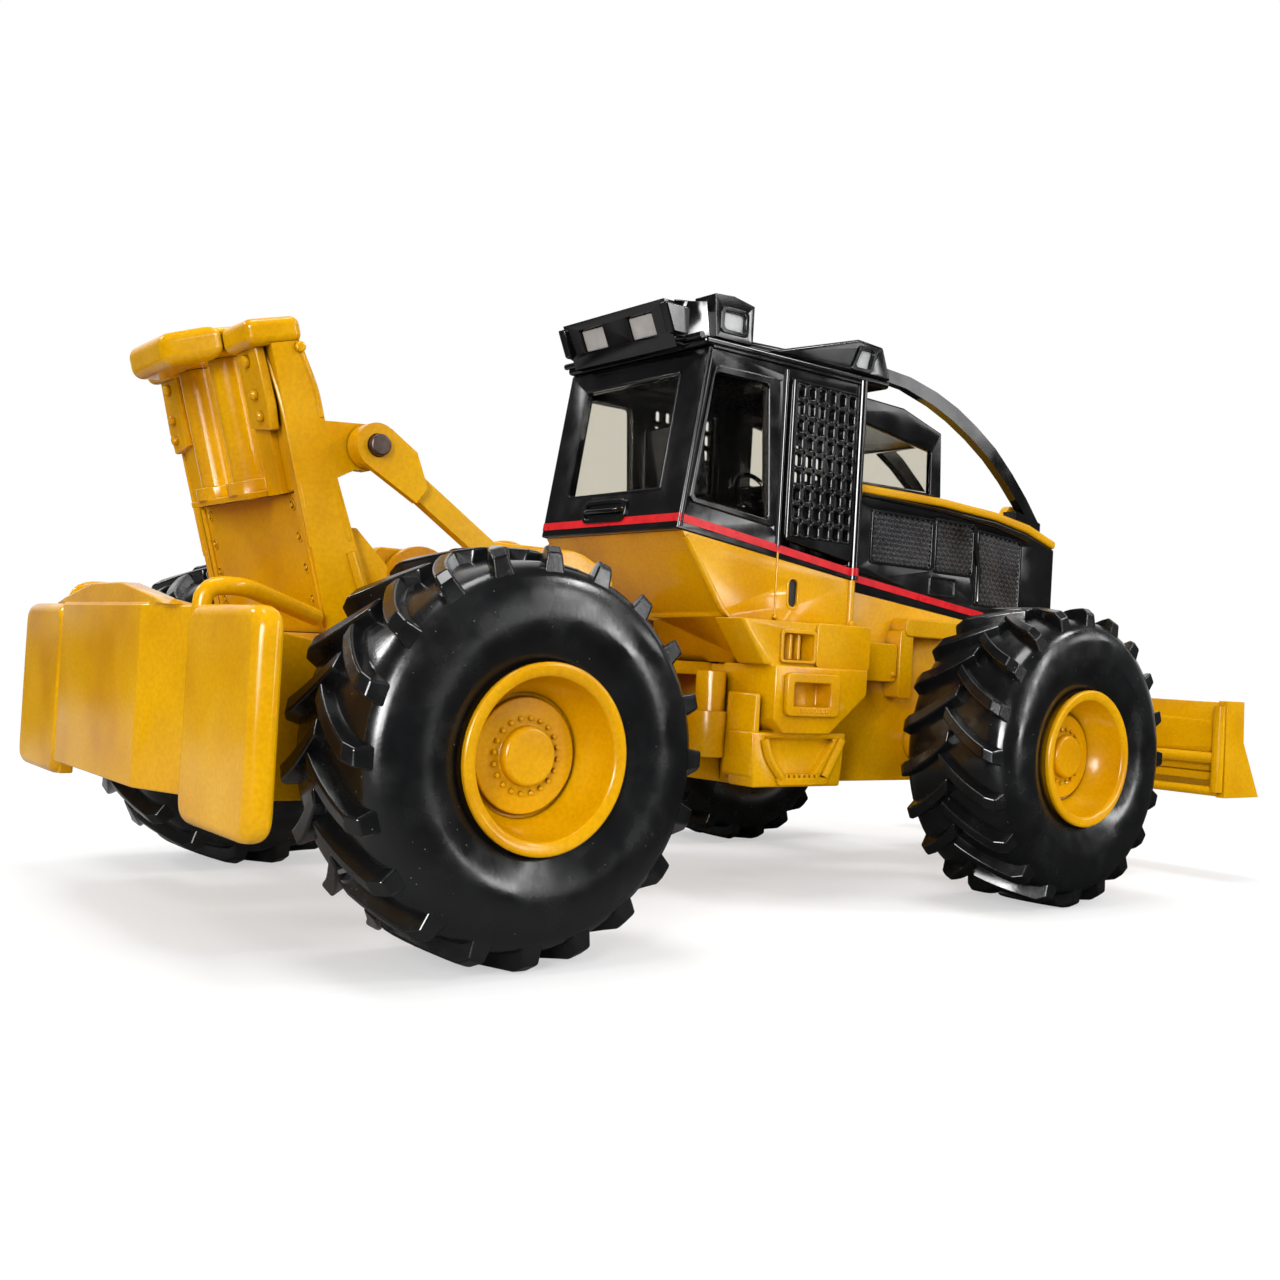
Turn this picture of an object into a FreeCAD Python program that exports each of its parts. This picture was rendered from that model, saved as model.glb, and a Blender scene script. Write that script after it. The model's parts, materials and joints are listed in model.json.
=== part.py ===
"""Toy cable skidder, about 1:50: every sub-part as its own parametric object.

Lengths are in millimetres.  +X points forward, +Y to the machine's left and
+Z up, with the floor at Z = 0.  Positions along X are given from the rear axle
and shifted by `rear_axle_x`, so that the whole toy is centred on the origin.
"""
import FreeCAD
import Part
import math
import os
import Sketcher

doc = FreeCAD.newDocument("skidder")
sheet = doc.addObject("Spreadsheet::Sheet", "Sizes")
Vector = FreeCAD.Vector
UP, LEFT, AHEAD = Vector(0, 0, 1), Vector(0, 1, 0), Vector(1, 0, 0)


class Size:
    """A number together with the spreadsheet expression that gives it."""

    def __init__(self, value, text):
        self.value, self.text = float(value), text

    def _join(self, other, sign, swap=False):
        other = as_size(other)
        a, b = (other, self) if swap else (self, other)
        value = {"+": a.value + b.value, "-": a.value - b.value, "*": a.value * b.value,
                 "/": a.value / b.value if b.value else 0.0}[sign]
        return Size(value, "(%s %s %s)" % (a.text, sign, b.text))

    def __add__(self, other):
        return self._join(other, "+")

    def __radd__(self, other):
        return self._join(other, "+", True)

    def __sub__(self, other):
        return self._join(other, "-")

    def __rsub__(self, other):
        return self._join(other, "-", True)

    def __mul__(self, other):
        return self._join(other, "*")

    def __rmul__(self, other):
        return self._join(other, "*", True)

    def __truediv__(self, other):
        return self._join(other, "/")

    def __neg__(self):
        return self._join(-1, "*")


def as_size(number):
    """Give a plain number the same form as a spreadsheet size."""
    return number if isinstance(number, Size) else Size(number, "%.6g" % number)


row_count = [0]


def size(name, value, meaning):
    """Write one named size into the spreadsheet and return it."""
    row_count[0] += 1
    row = row_count[0]
    sheet.set("A%d" % row, name)
    sheet.set("B%d" % row, "%.6g" % value)
    sheet.set("C%d" % row, meaning)
    sheet.setAlias("B%d" % row, name)
    return Size(value, "Sizes." + name)


def bind(thing, path, number):
    """Set a property and tie it to its spreadsheet expression."""
    number = as_size(number)
    setattr(thing, path, number.value)
    if "Sizes." in number.text:
        thing.setExpression(path, number.text)


def put(thing, x=0, y=0, z=0):
    """Place an object, each coordinate tied to the sheet."""
    x, y, z = as_size(x), as_size(y), as_size(z)
    thing.Placement.Base = Vector(x.value, y.value, z.value)
    for axis, number in (("x", x), ("y", y), ("z", z)):
        if "Sizes." in number.text:
            thing.setExpression(".Placement.Base." + axis, number.text)


# ------------------------------------------------------------------ sizes
rear_axle_x = size("rear_axle_x", -46.0, "rear axle, from the middle of the toy")
wheelbase = size("wheelbase", 70.4, "rear axle to front axle")
pivot_x = size("pivot_x", 34.0, "steering hinge, ahead of the rear axle")
axle_z = size("axle_z", 16.3941, "axle height, which is the tyre's outer radius")
track_half = size("track_half", 26.2, "middle plane of a wheel, from the centre plane")

tyre_half = size("tyre_half", 6.9, "half the width of a tyre")
lug_tip_r = size("lug_tip_r", 16.25, "flat tops of the lugs, from the wheel's axis")
carcass_r = size("carcass_r", 15.2, "tyre radius between the lugs")
lug_wide = size("lug_wide", 1.75, "thickness of a lug round the tyre")
lug_count = size("lug_count", 20, "lugs on each side of a tyre")
bead_r = size("bead_r", 6.9, "radius of the hole in a tyre")
rim_r = size("rim_r", 7.4, "radius over the rim's flange")
dish_r = size("dish_r", 4.9, "radius of the flat disc in the rim")
hub_r = size("hub_r", 2.35, "radius of the hub cap")
stub_r = size("stub_r", 1.5, "radius of an axle's end pin")
running_gap = size("running_gap", 0.06, "radial clearance of a turning fit")

frame_half = size("frame_half", 18.0, "half width of the rear box")
spine_half = size("spine_half", 9.0, "half width of the narrow frame")
butt_x = size("butt_x", -24.0, "rearmost face of the butt plate")
plate = size("plate", 1.3, "thickness of a cast plate")
arch_half = size("arch_half", 12.5, "half width over the arch")
arch_lean = size("arch_lean", 15.6, "lean of the arch, degrees to the rear")
arch_foot_x = size("arch_foot_x", -8.9, "rear face of the arch, at deck height")
foot_z = size("foot_z", 25.0, "flat top that the arch stands on")
deck_z = size("deck_z", 26.2, "top of the rear box")

cab_half = size("cab_half", 12.3, "half width of the cab")
cab_rear_x = size("cab_rear_x", 27.9, "rear face of the cab, at its foot")
cab_front_x = size("cab_front_x", 54.5, "front posts of the doors")
cab_top_z = size("cab_top_z", 57.0, "top of the cab walls")
wall = size("wall", 1.0, "thickness of the cab walls")
hood_half = size("hood_half", 8.6, "half width of the hood")
nose_x = size("nose_x", 97.0, "front of the hood")
hood_z = size("hood_z", 46.2, "top of the hood at the windscreen")
screen_x = size("screen_x", 73.6, "front of the windscreen box")
sill_rear_z = size("sill_rear_z", 34.0, "lower edge of the hood sides, at the cab")
sill_front_z = size("sill_front_z", 29.8, "lower edge of the hood sides, at the nose")

blade_half = size("blade_half", 28.5, "half width of the blade")
blade_tip_x = size("blade_tip_x", 116.0, "cutting edge")
blade_back_x = size("blade_back_x", 107.0, "back of the blade")
arm_pin_x = size("arm_pin_x", 88.0, "pivot of the blade arms")
arm_pin_z = size("arm_pin_z", 12.5, "height of that pivot")

doc.recompute()


# ------------------------------------------------------------------ shapes
def new_body(label):
    """Start one sub-part as a PartDesign body placed at the rear axle."""
    body = doc.addObject("PartDesign::Body", label)
    body.Label = label
    put(body, x=rear_axle_x)
    return body


def origin_part(body, role):
    """Find a base plane or axis of a body."""
    return [f for f in body.Origin.OriginFeatures if f.Role == role][0]


def sketch_on(body, name, plane_name, level=0, turned=0, centre=(0, 0)):
    """Open a sketch on a base plane, moved along the plane's normal.

    `turned` tips the sketch's plane about +Y, for lugs and leaning parts.
    """
    sketch = body.newObject("Sketcher::SketchObject", name)
    sketch.AttachmentSupport = (origin_part(body, plane_name + "_Plane"), [""])
    sketch.MapMode = "FlatFace"
    level = as_size(level)
    sketch.AttachmentOffset = FreeCAD.Placement(Vector(0, 0, level.value), FreeCAD.Rotation())
    if "Sizes." in level.text:
        sketch.setExpression(".AttachmentOffset.Base.z", level.text)
    return sketch


def draw_polygon(sketch, points):
    """Draw a closed outline, every corner held by sizes from the origin."""
    corners = [(as_size(u), as_size(v)) for u, v in points]
    count = len(corners)
    first = sketch.GeometryCount
    for i, (u, v) in enumerate(corners):
        nu, nv = corners[(i + 1) % count]
        line = Part.LineSegment(Vector(u.value, v.value, 0), Vector(nu.value, nv.value, 0))
        sketch.addGeometry(line, False)
    for i in range(count):
        sketch.addConstraint(Sketcher.Constraint("Coincident", first + i, 2,
                                                 first + (i + 1) % count, 1))
    for i, (u, v) in enumerate(corners):
        for kind, number in (("DistanceX", u), ("DistanceY", v)):
            index = sketch.addConstraint(
                Sketcher.Constraint(kind, -1, 1, first + i, 1, number.value))
            if "Sizes." in number.text:
                sketch.setExpression("Constraints[%d]" % index, number.text)


def draw_circle(sketch, u, v, radius):
    """Draw a circle held by its centre and radius."""
    u, v, radius = as_size(u), as_size(v), as_size(radius)
    index = sketch.addGeometry(
        Part.Circle(Vector(u.value, v.value, 0), UP, radius.value), False)
    for kind, number in (("DistanceX", u), ("DistanceY", v)):
        held = sketch.addConstraint(
            Sketcher.Constraint(kind, -1, 1, index, 3, number.value))
        if "Sizes." in number.text:
            sketch.setExpression("Constraints[%d]" % held, number.text)
    held = sketch.addConstraint(Sketcher.Constraint("Radius", index, radius.value))
    if "Sizes." in radius.text:
        sketch.setExpression("Constraints[%d]" % held, radius.text)


def add_prism(body, name, plane_name, outline, low, high, cut=False):
    """Pad or pocket an outline between two levels across its plane.

    `outline` is a list of corners, or (u, v, radius) for a round one.
    """
    low, high = as_size(low), as_size(high)
    across = high - low
    if plane_name == "XZ":
        level = -low if cut else -high
    else:
        level = high if cut else low
    sketch = sketch_on(body, name + "_outline", plane_name, level)
    if isinstance(outline, tuple):
        draw_circle(sketch, *outline)
    else:
        draw_polygon(sketch, outline)
    kind = "PartDesign::Pocket" if cut else "PartDesign::Pad"
    before = None
    if cut:
        doc.recompute()
        before = body.Shape.Volume
    feature = body.newObject(kind, name)
    feature.Profile = sketch
    bind(feature, "Length", across)
    doc.recompute()
    if cut and body.Shape.Volume > before - 1e-6:
        raise RuntimeError("%s cuts nothing" % name)
    return feature


def add_turning(body, name, outline, axis="Y_Axis", plane_name="XY", cut=False):
    """Turn an outline of (radius, along) corners round a base axis."""
    sketch = sketch_on(body, name + "_outline", plane_name)
    draw_polygon(sketch, outline)
    feature = body.newObject("PartDesign::Groove" if cut else "PartDesign::Revolution", name)
    feature.Profile = sketch
    feature.ReferenceAxis = (origin_part(body, axis), [""])
    feature.Angle = 360
    doc.recompute()
    return feature


def round_edges(body, name, radius, wanted):
    """Fillet the edges of the body's tip that `wanted` picks."""
    tip = body.Tip
    names = ["Edge%d" % (i + 1) for i, edge in enumerate(tip.Shape.Edges) if wanted(edge)]
    feature = body.newObject("PartDesign::Fillet", name)
    feature.Base = (tip, names)
    bind(feature, "Radius", radius)
    doc.recompute()
    return feature


def runs_along(direction):
    """Pick straight edges parallel to a direction."""
    def test(edge):
        if edge.Curve.TypeId != "Part::GeomLine":
            return False
        return abs(abs(edge.Curve.Direction.dot(direction)) - 1) < 1e-6
    return test


def both_sides(name, build):
    """Build a handed sub-part twice: right (side -1) and left (side +1)."""
    return [build("%s_%s" % (name, word), side) for word, side in (("right", -1), ("left", 1))]


def span(side, near, far):
    """Order the two Y levels of a handed prism."""
    near, far = as_size(near), as_size(far)
    return (-far, -near) if side < 0 else (near, far)


def box_outline(u0, v0, u1, v1):
    """Corners of an upright rectangle."""
    return [(u0, v0), (u1, v0), (u1, v1), (u0, v1)]




def ring_loft(body, name, stations, sides):
    """Loft a many-sided ring from (y, radius) stations."""
    sketches = []
    for k, (y, radius) in enumerate(stations):
        sketch = sketch_on(body, "%s_%d" % (name, k), "XZ", -as_size(y))
        corners = []
        for i in range(sides):
            angle = 2 * math.pi * (i + 0.5) / sides
            corners.append((radius * math.cos(angle), radius * math.sin(angle)))
        draw_polygon(sketch, corners)
        sketches.append(sketch)
    loft = body.newObject("PartDesign::AdditiveLoft", name)
    loft.Profile = sketches[0]
    loft.Sections = sketches[1:]
    loft.Ruled = True
    doc.recompute()
    return loft


def lug_bar(body, name, radius, root, side, y_near, y_far, turn_near, turn_far, angle):
    """One straight half of a lug, flat on top, tipped round the axle."""
    tilt = FreeCAD.Rotation(LEFT, angle)
    sketch = sketch_on(body, name + "_outline", "XY")
    sketch.AttachmentOffset = FreeCAD.Placement(tilt.multVec(Vector(0, 0, root)), tilt)
    draw_polygon(sketch, [(turn_near, y_near * side), (turn_far, y_far * side),
                          (turn_far + lug_wide, y_far * side),
                          (turn_near + lug_wide, y_near * side)])
    pad = body.newObject("PartDesign::Pad", name)
    pad.Profile = sketch
    bind(pad, "Length", radius - root)
    return pad


def build_tyre(label, x, side):
    """A lugged tyre: outer lugs leading to a point that climbs at the rear."""
    body = new_body(label)
    put(body, rear_axle_x + x, track_half * side, axle_z)
    stations = [(-5.4, 7.6), (-6.5, 9.2), (-6.9, 11.4), (-6.2, 13.9), (-3.0, 15.2),
                (3.0, 15.2), (6.2, 13.9), (6.9, 11.4), (6.5, 9.2), (5.4, 7.6)]
    sides = 20
    ring_loft(body, "carcass", stations, sides)
    add_prism(body, "bead", "XZ", (0, 0, bead_r), -8, 8, cut=True)
    pads = []
    for hand in (1, -1):
        start = 0.0 if hand * side > 0 else 9.0
        pads.append(lug_bar(body, "lug_outer_%d" % (hand > 0), lug_tip_r, 13.6, hand,
                            6.4, 3.4, -1.7, 0.0, start + 7.0))
        pads.append(lug_bar(body, "lug_inner_%d" % (hand > 0), lug_tip_r, 13.6, hand,
                            3.6, -0.5, -2.4, 0.7, start - 4.6))
    pattern = body.newObject("PartDesign::PolarPattern", "lug_ring")
    pattern.Originals = pads
    pattern.Axis = (origin_part(body, "Y_Axis"), [""])
    pattern.Angle = 360
    pattern.Occurrences = int(lug_count.value)
    pattern.setExpression("Occurrences", lug_count.text)
    body.Tip = pattern
    doc.recompute()
    return body


def build_rim(label, x, side):
    """A deep dished rim with a raised hub cap and a blind axle bore."""
    body = new_body(label)
    put(body, rear_axle_x + x, track_half * side, axle_z)
    s = side
    lip = 6.9
    outline = [(0, 4.9 * s), (hub_r, 4.9 * s), (hub_r, 3.5 * s), (dish_r, 3.5 * s),
               (6.3, 5.2 * s), (6.6, lip * s), (rim_r, lip * s), (rim_r, (lip - 0.7) * s),
               (bead_r, (lip - 0.9) * s), (bead_r, -(lip - 0.9) * s), (rim_r, -(lip - 0.7) * s),
               (rim_r, -lip * s), (6.2, -lip * s), (6.0, 0), (3.2, 0.6 * s), (3.2, -2.5 * s),
               (stub_r + running_gap, -2.5 * s), (stub_r + running_gap, 2.6 * s), (0, 2.6 * s)]
    add_turning(body, "turned_rim", outline)
    return body


for axle_name, axle_x in (("rear", as_size(0)), ("front", wheelbase)):
    for word, side in (("right", -1), ("left", 1)):
        build_tyre("tyre_%s_%s" % (axle_name, word), axle_x, side)
        build_rim("rim_%s_%s" % (axle_name, word), axle_x, side)

for axle_name, axle_x in (("rear", as_size(0)), ("front", wheelbase)):
    axle = new_body(axle_name + "_axle")
    put(axle, rear_axle_x + axle_x, 0, axle_z)
    add_turning(axle, "housing", [
        (0, -28.6), (stub_r, -28.6), (stub_r, -23.4), (3.0, -23.4), (3.0, -18.6), (2.5, -18.0),
        (2.5, 18.0), (3.0, 18.6), (3.0, 23.4), (stub_r, 23.4), (stub_r, 28.6), (0, 28.6)])

# ------------------------------------------------------------------ rear frame
rear_frame = new_body("rear_frame")
add_prism(rear_frame, "rear_box", "XZ", [
    (butt_x + 3.4, 11.8), (-9.4, 11.8), (-9.4, 23.8), (butt_x + 3.4, 25.9)],
    -frame_half, frame_half)
add_prism(rear_frame, "deck_recess", "XY", box_outline(butt_x + 4.8, -16.6, -10.6, 16.6),
          21.5, 30, cut=True)
add_prism(rear_frame, "arch_foot", "XZ", box_outline(-9.4, 12.0, -3.0, foot_z),
          -arch_half, arch_half)
add_prism(rear_frame, "spine", "XZ", [
    (-3, 12.0), (18, 12.0), (22, 15.0), (22, 23.4), (-3, 23.4)], -spine_half, spine_half)
add_prism(rear_frame, "neck", "XZ", box_outline(22, 18.0, 28, 23.0), -5.0, 5.0)
add_prism(rear_frame, "hinge_tongue", "XZ", box_outline(28, 18.0, pivot_x, 22.6), -3.2, 3.2)
add_prism(rear_frame, "hinge_eye", "XY", (pivot_x, 0, 3.2), 18.0, 22.6)
add_prism(rear_frame, "hinge_bore", "XY", (pivot_x, 0, 1.3 + running_gap), 15, 25, cut=True)
add_prism(rear_frame, "axle_hole", "XZ", (0, axle_z, 2.55), -20, 20, cut=True)

frame_pins = new_body("frame_pins")
add_prism(frame_pins, "hinge_pin", "XY", (pivot_x, 0, 1.3), 11.8, 28.8)

butt_plate = new_body("butt_plate")
wing_low, wing_top = 10.4, 26.5
add_prism(butt_plate, "wings", "YZ", box_outline(-30.6, wing_low, 30.6, wing_top),
          butt_x + 2.1, butt_x + 3.4)
add_prism(butt_plate, "wing_notch", "YZ", [
    (-17.2, wing_low - 1), (17.2, wing_low - 1), (17.2, 12.2), (-17.2, 12.2)],
    butt_x + 1, butt_x + 4, cut=True)
add_prism(butt_plate, "bulge", "XY", [
    (butt_x, -11.0), (butt_x + 2.1, -16.8), (butt_x + 2.1, 16.8), (butt_x, 11.0)],
    12.2, wing_top)
add_prism(butt_plate, "crown", "YZ", [
    (-15.4, wing_top), (15.4, wing_top), (12.5, 27.1), (4.1, 28.3), (-4.1, 28.3),
    (-12.5, 27.1)], butt_x + 0.4, butt_x + 2.1)
round_edges(butt_plate, "wing_corners", 2.0, lambda edge: runs_along(AHEAD)(edge)
            and abs(edge.CenterOfMass.y) > 30)
round_edges(butt_plate, "bulge_edges", 0.5, lambda edge: runs_along(UP)(edge)
            and abs(edge.CenterOfMass.x - butt_x.value) < 0.01)

rails = new_body("butt_rails")
for word, side in (("right", -1), ("left", 1)):
    low, high = span(side, 16.3, 17.7)
    add_prism(rails, "rail_" + word, "XZ", [
        (-20.55, 26.0), (-19.2, 26.0), (-18.4, 27.0), (-9.6, 24.9), (-9.6, 26.4), (-18.2, 28.5),
        (-19.4, 28.4), (-20.55, 27.2)], low, high)

winch_frame = new_body("winch_frame")
add_prism(winch_frame, "cheeks", "XZ", [
    (1, 23.4), (21.8, 23.4), (21.8, 31.6), (20.7, 33.0), (18.4, 34.1), (16.4, 34.5), (6, 34.5),
    (1, 30)], -10.6, 10.6)
add_prism(winch_frame, "drum_bay", "XZ", [
    (0, 25.6), (18.4, 25.6), (18.4, 40), (0, 40)], -8.9, 8.9, cut=True)
for word, side in (("right", -1), ("left", 1)):
    low, high = span(side, 10.6, 12.55)
    add_prism(winch_frame, "strut_boss_" + word, "XZ", (13.0, 28.2, 1.7), low, high)
add_prism(winch_frame, "strut_bore", "XZ", (13.0, 28.2, 0.95), -13, 13, cut=True)

winch_drum = new_body("winch_drum")
put(winch_drum, rear_axle_x + 10.4, 0, 30.6)
add_turning(winch_drum, "drum", [
    (0, -8.85), (4.3, -8.85), (4.3, -7.9), (2.6, -7.9), (2.6, 7.9), (4.3, 7.9), (4.3, 8.85),
    (0, 8.85)])

# ------------------------------------------------------------------ arch


def on_arch(forward, up):
    """A point given square to the leaning arch, as (x, z)."""
    c, s = math.cos(math.radians(arch_lean.value)), math.sin(math.radians(arch_lean.value))
    return arch_foot_x + (forward * c - up * s), deck_z + (forward * s + up * c)


def arch_band(forward_low, forward_high, up_low, up_high):
    """A box lying along the leaning arch, as an outline."""
    return [on_arch(forward_low, up_low), on_arch(forward_high, up_low),
            on_arch(forward_high, up_high), on_arch(forward_low, up_high)]


arch_plate = new_body("arch_plate")
foot_rear = arch_foot_x + (deck_z - foot_z) * math.tan(math.radians(arch_lean.value))
add_prism(arch_plate, "plate", "XZ", [
    (foot_rear, foot_z), (foot_rear + 1.25, foot_z), on_arch(1.2, 10.9), on_arch(0, 10.9)],
    -11.2, 11.2)


def build_arch_post(label, side):
    """A leaning side post: plate with its pin ear, channel, bolt strip and cap."""
    body = new_body(label)
    low, high = span(side, 11.2, arch_half)
    add_prism(body, "side_plate", "XZ", [
        (foot_rear - 0.4, foot_z), (-4.1, foot_z), (-9.0, 38.1),
        (-7.4, 39.0), (-6.3, 39.0), (-5.1, 39.4), (-4.3, 40.4), (-4.3, 41.6), (-5.1, 42.7),
        (-6.3, 43.0), (-10.4, 42.7), on_arch(2.75, 19.0), on_arch(2.0, 23.4),
        on_arch(-0.4, 23.4)], low, high)
    low, high = span(side, 9.6, 11.25)
    add_prism(body, "gusset", "XZ", [
        (-6.9, foot_z), (-3.3, foot_z), (-3.3, 31.2), (-6.4, 34.2), (-8.6, 34.2)], low, high)
    low, high = span(side, 7.0, 9.9)
    add_prism(body, "flange", "XZ", arch_band(-0.9, 0.6, 10.9, 23.2), low, high)
    low, high = span(side, 9.4, 11.3)
    add_prism(body, "channel", "XZ", arch_band(0.4, 1.2, 10.9, 23.2), low, high)
    low, high = span(side, 7.5, 10.4)
    add_prism(body, "bolt_strip", "XZ", arch_band(-1.4, -0.8, 16.6, 23.2), low, high)
    low, high = span(side, 7.0, arch_half + 0.15)
    add_prism(body, "cap", "XZ", arch_band(-2.2, 2.35, 23.0, 24.9), low, high)
    low, high = span(side, arch_half - 3, arch_half + 3)
    add_prism(body, "pin_hole", "XZ", (-6.5, 41.0, 0.98), low, high, cut=True)
    return body


both_sides("arch_post", build_arch_post)

def add_leaning_pad(body, name, forward, across, up_low, up_high, outline):
    """Pad an outline, round or of (forward, across) corners, along the leaning arch."""
    sketch = sketch_on(body, name + "_outline", "XY")
    x, z = on_arch(forward, up_low)
    tilt = FreeCAD.Rotation(LEFT, -arch_lean.value)
    sketch.AttachmentOffset = FreeCAD.Placement(
        Vector(as_size(x).value, across, as_size(z).value), tilt)
    if isinstance(outline, list):
        draw_polygon(sketch, outline)
    else:
        draw_circle(sketch, 0, 0, outline)
    bar = body.newObject("PartDesign::Pad", name)
    bar.Profile = sketch
    bind(bar, "Length", up_high - up_low)
    doc.recompute()


arch_guard = new_body("arch_guard")
add_leaning_pad(arch_guard, "guard", 0, 0, 22.7, 25.5, [
    (-2.45, -7.9), (-2.45, 7.9), (-6.4, 4.3), (-6.4, -4.3)])
add_prism(arch_guard, "guard_root", "XZ", arch_band(-2.5, 0.2, 23.0, 25.3), -6.95, 6.95)
round_edges(arch_guard, "guard_edges", 0.7, lambda edge: runs_along(LEFT)(edge)
            and edge.CenterOfMass.x < -20)


rollers = new_body("fairlead_rollers")
for word, side in (("right", -1), ("left", 1)):
    add_leaning_pad(rollers, "roller_" + word, -0.9, 3.7 * side, 12.3, 23.0, 1.45)
    add_leaning_pad(rollers, "collar_" + word, -0.9, 3.7 * side, 11.4, 12.5, 2.05)
add_prism(rollers, "roller_shelf", "XZ", arch_band(-2.6, 0.0, 10.9, 11.4), -6.9, 6.9)


def build_brace(label, side):
    """A flat strut pinned outside the arch ear and at the winch frame."""
    body = new_body(label)
    low, high = span(side, 12.65, 13.8)
    add_prism(body, "strut", "XZ", [
        (-5.96, 41.84), (13.54, 29.04), (12.46, 27.36), (-7.04, 40.16)], low, high)
    add_prism(body, "upper_eye", "XZ", (-6.5, 41.0, 1.9), low, high)
    add_prism(body, "lower_eye", "XZ", (13.0, 28.2, 1.7), low, high)
    low, high = span(side, 13.8, 14.6)
    add_prism(body, "doubler", "XZ", [
        (-5.4, 42.6), (-2.8, 40.9), (-1.6, 38.0), (-2.6, 36.6), (-7.6, 39.4)], low, high)
    add_prism(body, "doubler_eye", "XZ", (-6.5, 41.0, 1.9), low, high)
    low, high = span(side, 12, 15)
    add_prism(body, "upper_hole", "XZ", (-6.5, 41.0, 0.98), low, high, cut=True)
    add_prism(body, "lower_hole", "XZ", (13.0, 28.2, 0.95), low, high, cut=True)
    return body


both_sides("arch_brace", build_brace)

for word, side in (("right", -1), ("left", 1)):
    low, high = span(side, 10.6, 15.3)
    add_prism(frame_pins, "upper_pin_" + word, "XZ", (-6.5, 41.0, 0.92), low, high)
    low, high = span(side, 9.6, 14.6)
    add_prism(frame_pins, "lower_pin_" + word, "XZ", (13.0, 28.2, 0.9), low, high)

# ------------------------------------------------------------------ front frame
front_frame = new_body("front_frame")
add_prism(front_frame, "chassis", "XZ", [
    (40, 11.6), (96, 11.6), (96, sill_front_z), (54.6, sill_rear_z - 0.02), (54.6, 24.4),
    (40, 24.4)],
    -spine_half, spine_half)
add_prism(front_frame, "lower_fork", "XZ", [
    (31.5, 12.6), (40, 11.6), (40, 17.5), (31.5, 17.5)], -spine_half, spine_half)
add_prism(front_frame, "upper_fork", "XZ", box_outline(31, 23.1, 40, 24.5), -5.0, 5.0)
for word, side in (("right", -1), ("left", 1)):
    add_prism(front_frame, "cylinder_lug_" + word, "XY", (35.7, 9.6 * side, 2.3), 14.6, 19.4)
    add_prism(front_frame, "cylinder_boss_" + word, "XY", (36.1, 9.6 * side, 1.6), 19.4, 23.6)
    low, high = span(side, 7.6, 9.0)
    add_prism(front_frame, "lug_web_" + word, "XZ", box_outline(36.4, 19.4, 40, 23.6), low, high)
add_prism(front_frame, "axle_hole", "XZ", (wheelbase, axle_z, 2.55), -20, 20, cut=True)
add_prism(front_frame, "pin_bore", "XY", (pivot_x, 0, 1.3), 10, 26, cut=True)
add_prism(front_frame, "arm_bore", "XZ", (arm_pin_x, arm_pin_z, 0.95), -10, 10, cut=True)

cab_lower = new_body("cab_lower")
add_prism(cab_lower, "lower_side", "XZ", [
    (cab_rear_x + 0.9, 37.7), (30.2, 35.8), (34.6, 30.0), (35.6, 29.4), (39.6, 24.6),
    (54.5, 24.6), (54.5, 34.5)], -cab_half, cab_half)
add_prism(cab_lower, "pin_relief", "XY", (pivot_x, 0, 2.0), 20, 29.2, cut=True)
add_prism(cab_lower, "step_slots", "XZ", [
    (44.1, 31.5), (44.5, 30.9), (45.1, 30.9), (45.5, 31.5), (45.5, 33.5), (45.1, 34.1),
    (44.5, 34.1), (44.1, 33.5)], -cab_half - 1, -cab_half + 1.5, cut=True)
add_prism(cab_lower, "step_slots_left", "XZ", [
    (44.1, 31.5), (44.5, 30.9), (45.1, 30.9), (45.5, 31.5), (45.5, 33.5), (45.1, 34.1),
    (44.5, 34.1), (44.1, 33.5)], cab_half - 1.5, cab_half + 1, cut=True)


def build_step_box(label, side):
    """Tank with a recess, the box with its rimmed pocket, and the lower step."""
    body = new_body(label)
    low, high = span(side, cab_half, 16.6)
    add_prism(body, "tank", "XZ", [
        (33.6, 29.2), (37.2, 24.6), (52, 24.6), (52.4, 25.6), (52.4, 28.0), (51.2, 29.2)],
        low, high)
    low, high = span(side, 9.05, 17.3)
    add_prism(body, "box", "XZ", [
        (38.2, 24.6), (38.2, 19.0), (39.6, 17.6), (46.6, 17.6), (52, 21.8), (52, 24.6)],
        low, high)
    low, high = span(side, 9.05, 12.3)
    add_prism(body, "step_root", "XZ", box_outline(38.4, 11.9, 49.6, 17.6), low, high)
    low, high = span(side, 12.3, 16.2)
    add_prism(body, "lower_step", "XZ", [
        (36.4, 17.6), (36.8, 11.9), (49.6, 11.9), (50.2, 17.6)], low, high)
    low, high = span(side, 14.4, 18)
    add_prism(body, "tank_recess", "XZ", box_outline(39.6, 25.2, 44.0, 28.0), low, high,
              cut=True)
    low, high = span(side, 17.3, 17.8)
    add_prism(body, "pocket_rim", "XZ", box_outline(39.8, 19.8, 46.8, 23.5), low, high)
    low, high = span(side, 15.6, 18)
    add_prism(body, "pocket", "XZ", box_outline(40.4, 20.4, 45.8, 22.9), low, high, cut=True)
    low, high = span(side, 15.2, 17)
    add_prism(body, "step_opening", "XZ", [
        (38.4, 17.0), (40.6, 13.2), (45.6, 13.2), (48.6, 17.0)], low, high, cut=True)
    return body


both_sides("step_box", build_step_box)

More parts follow.
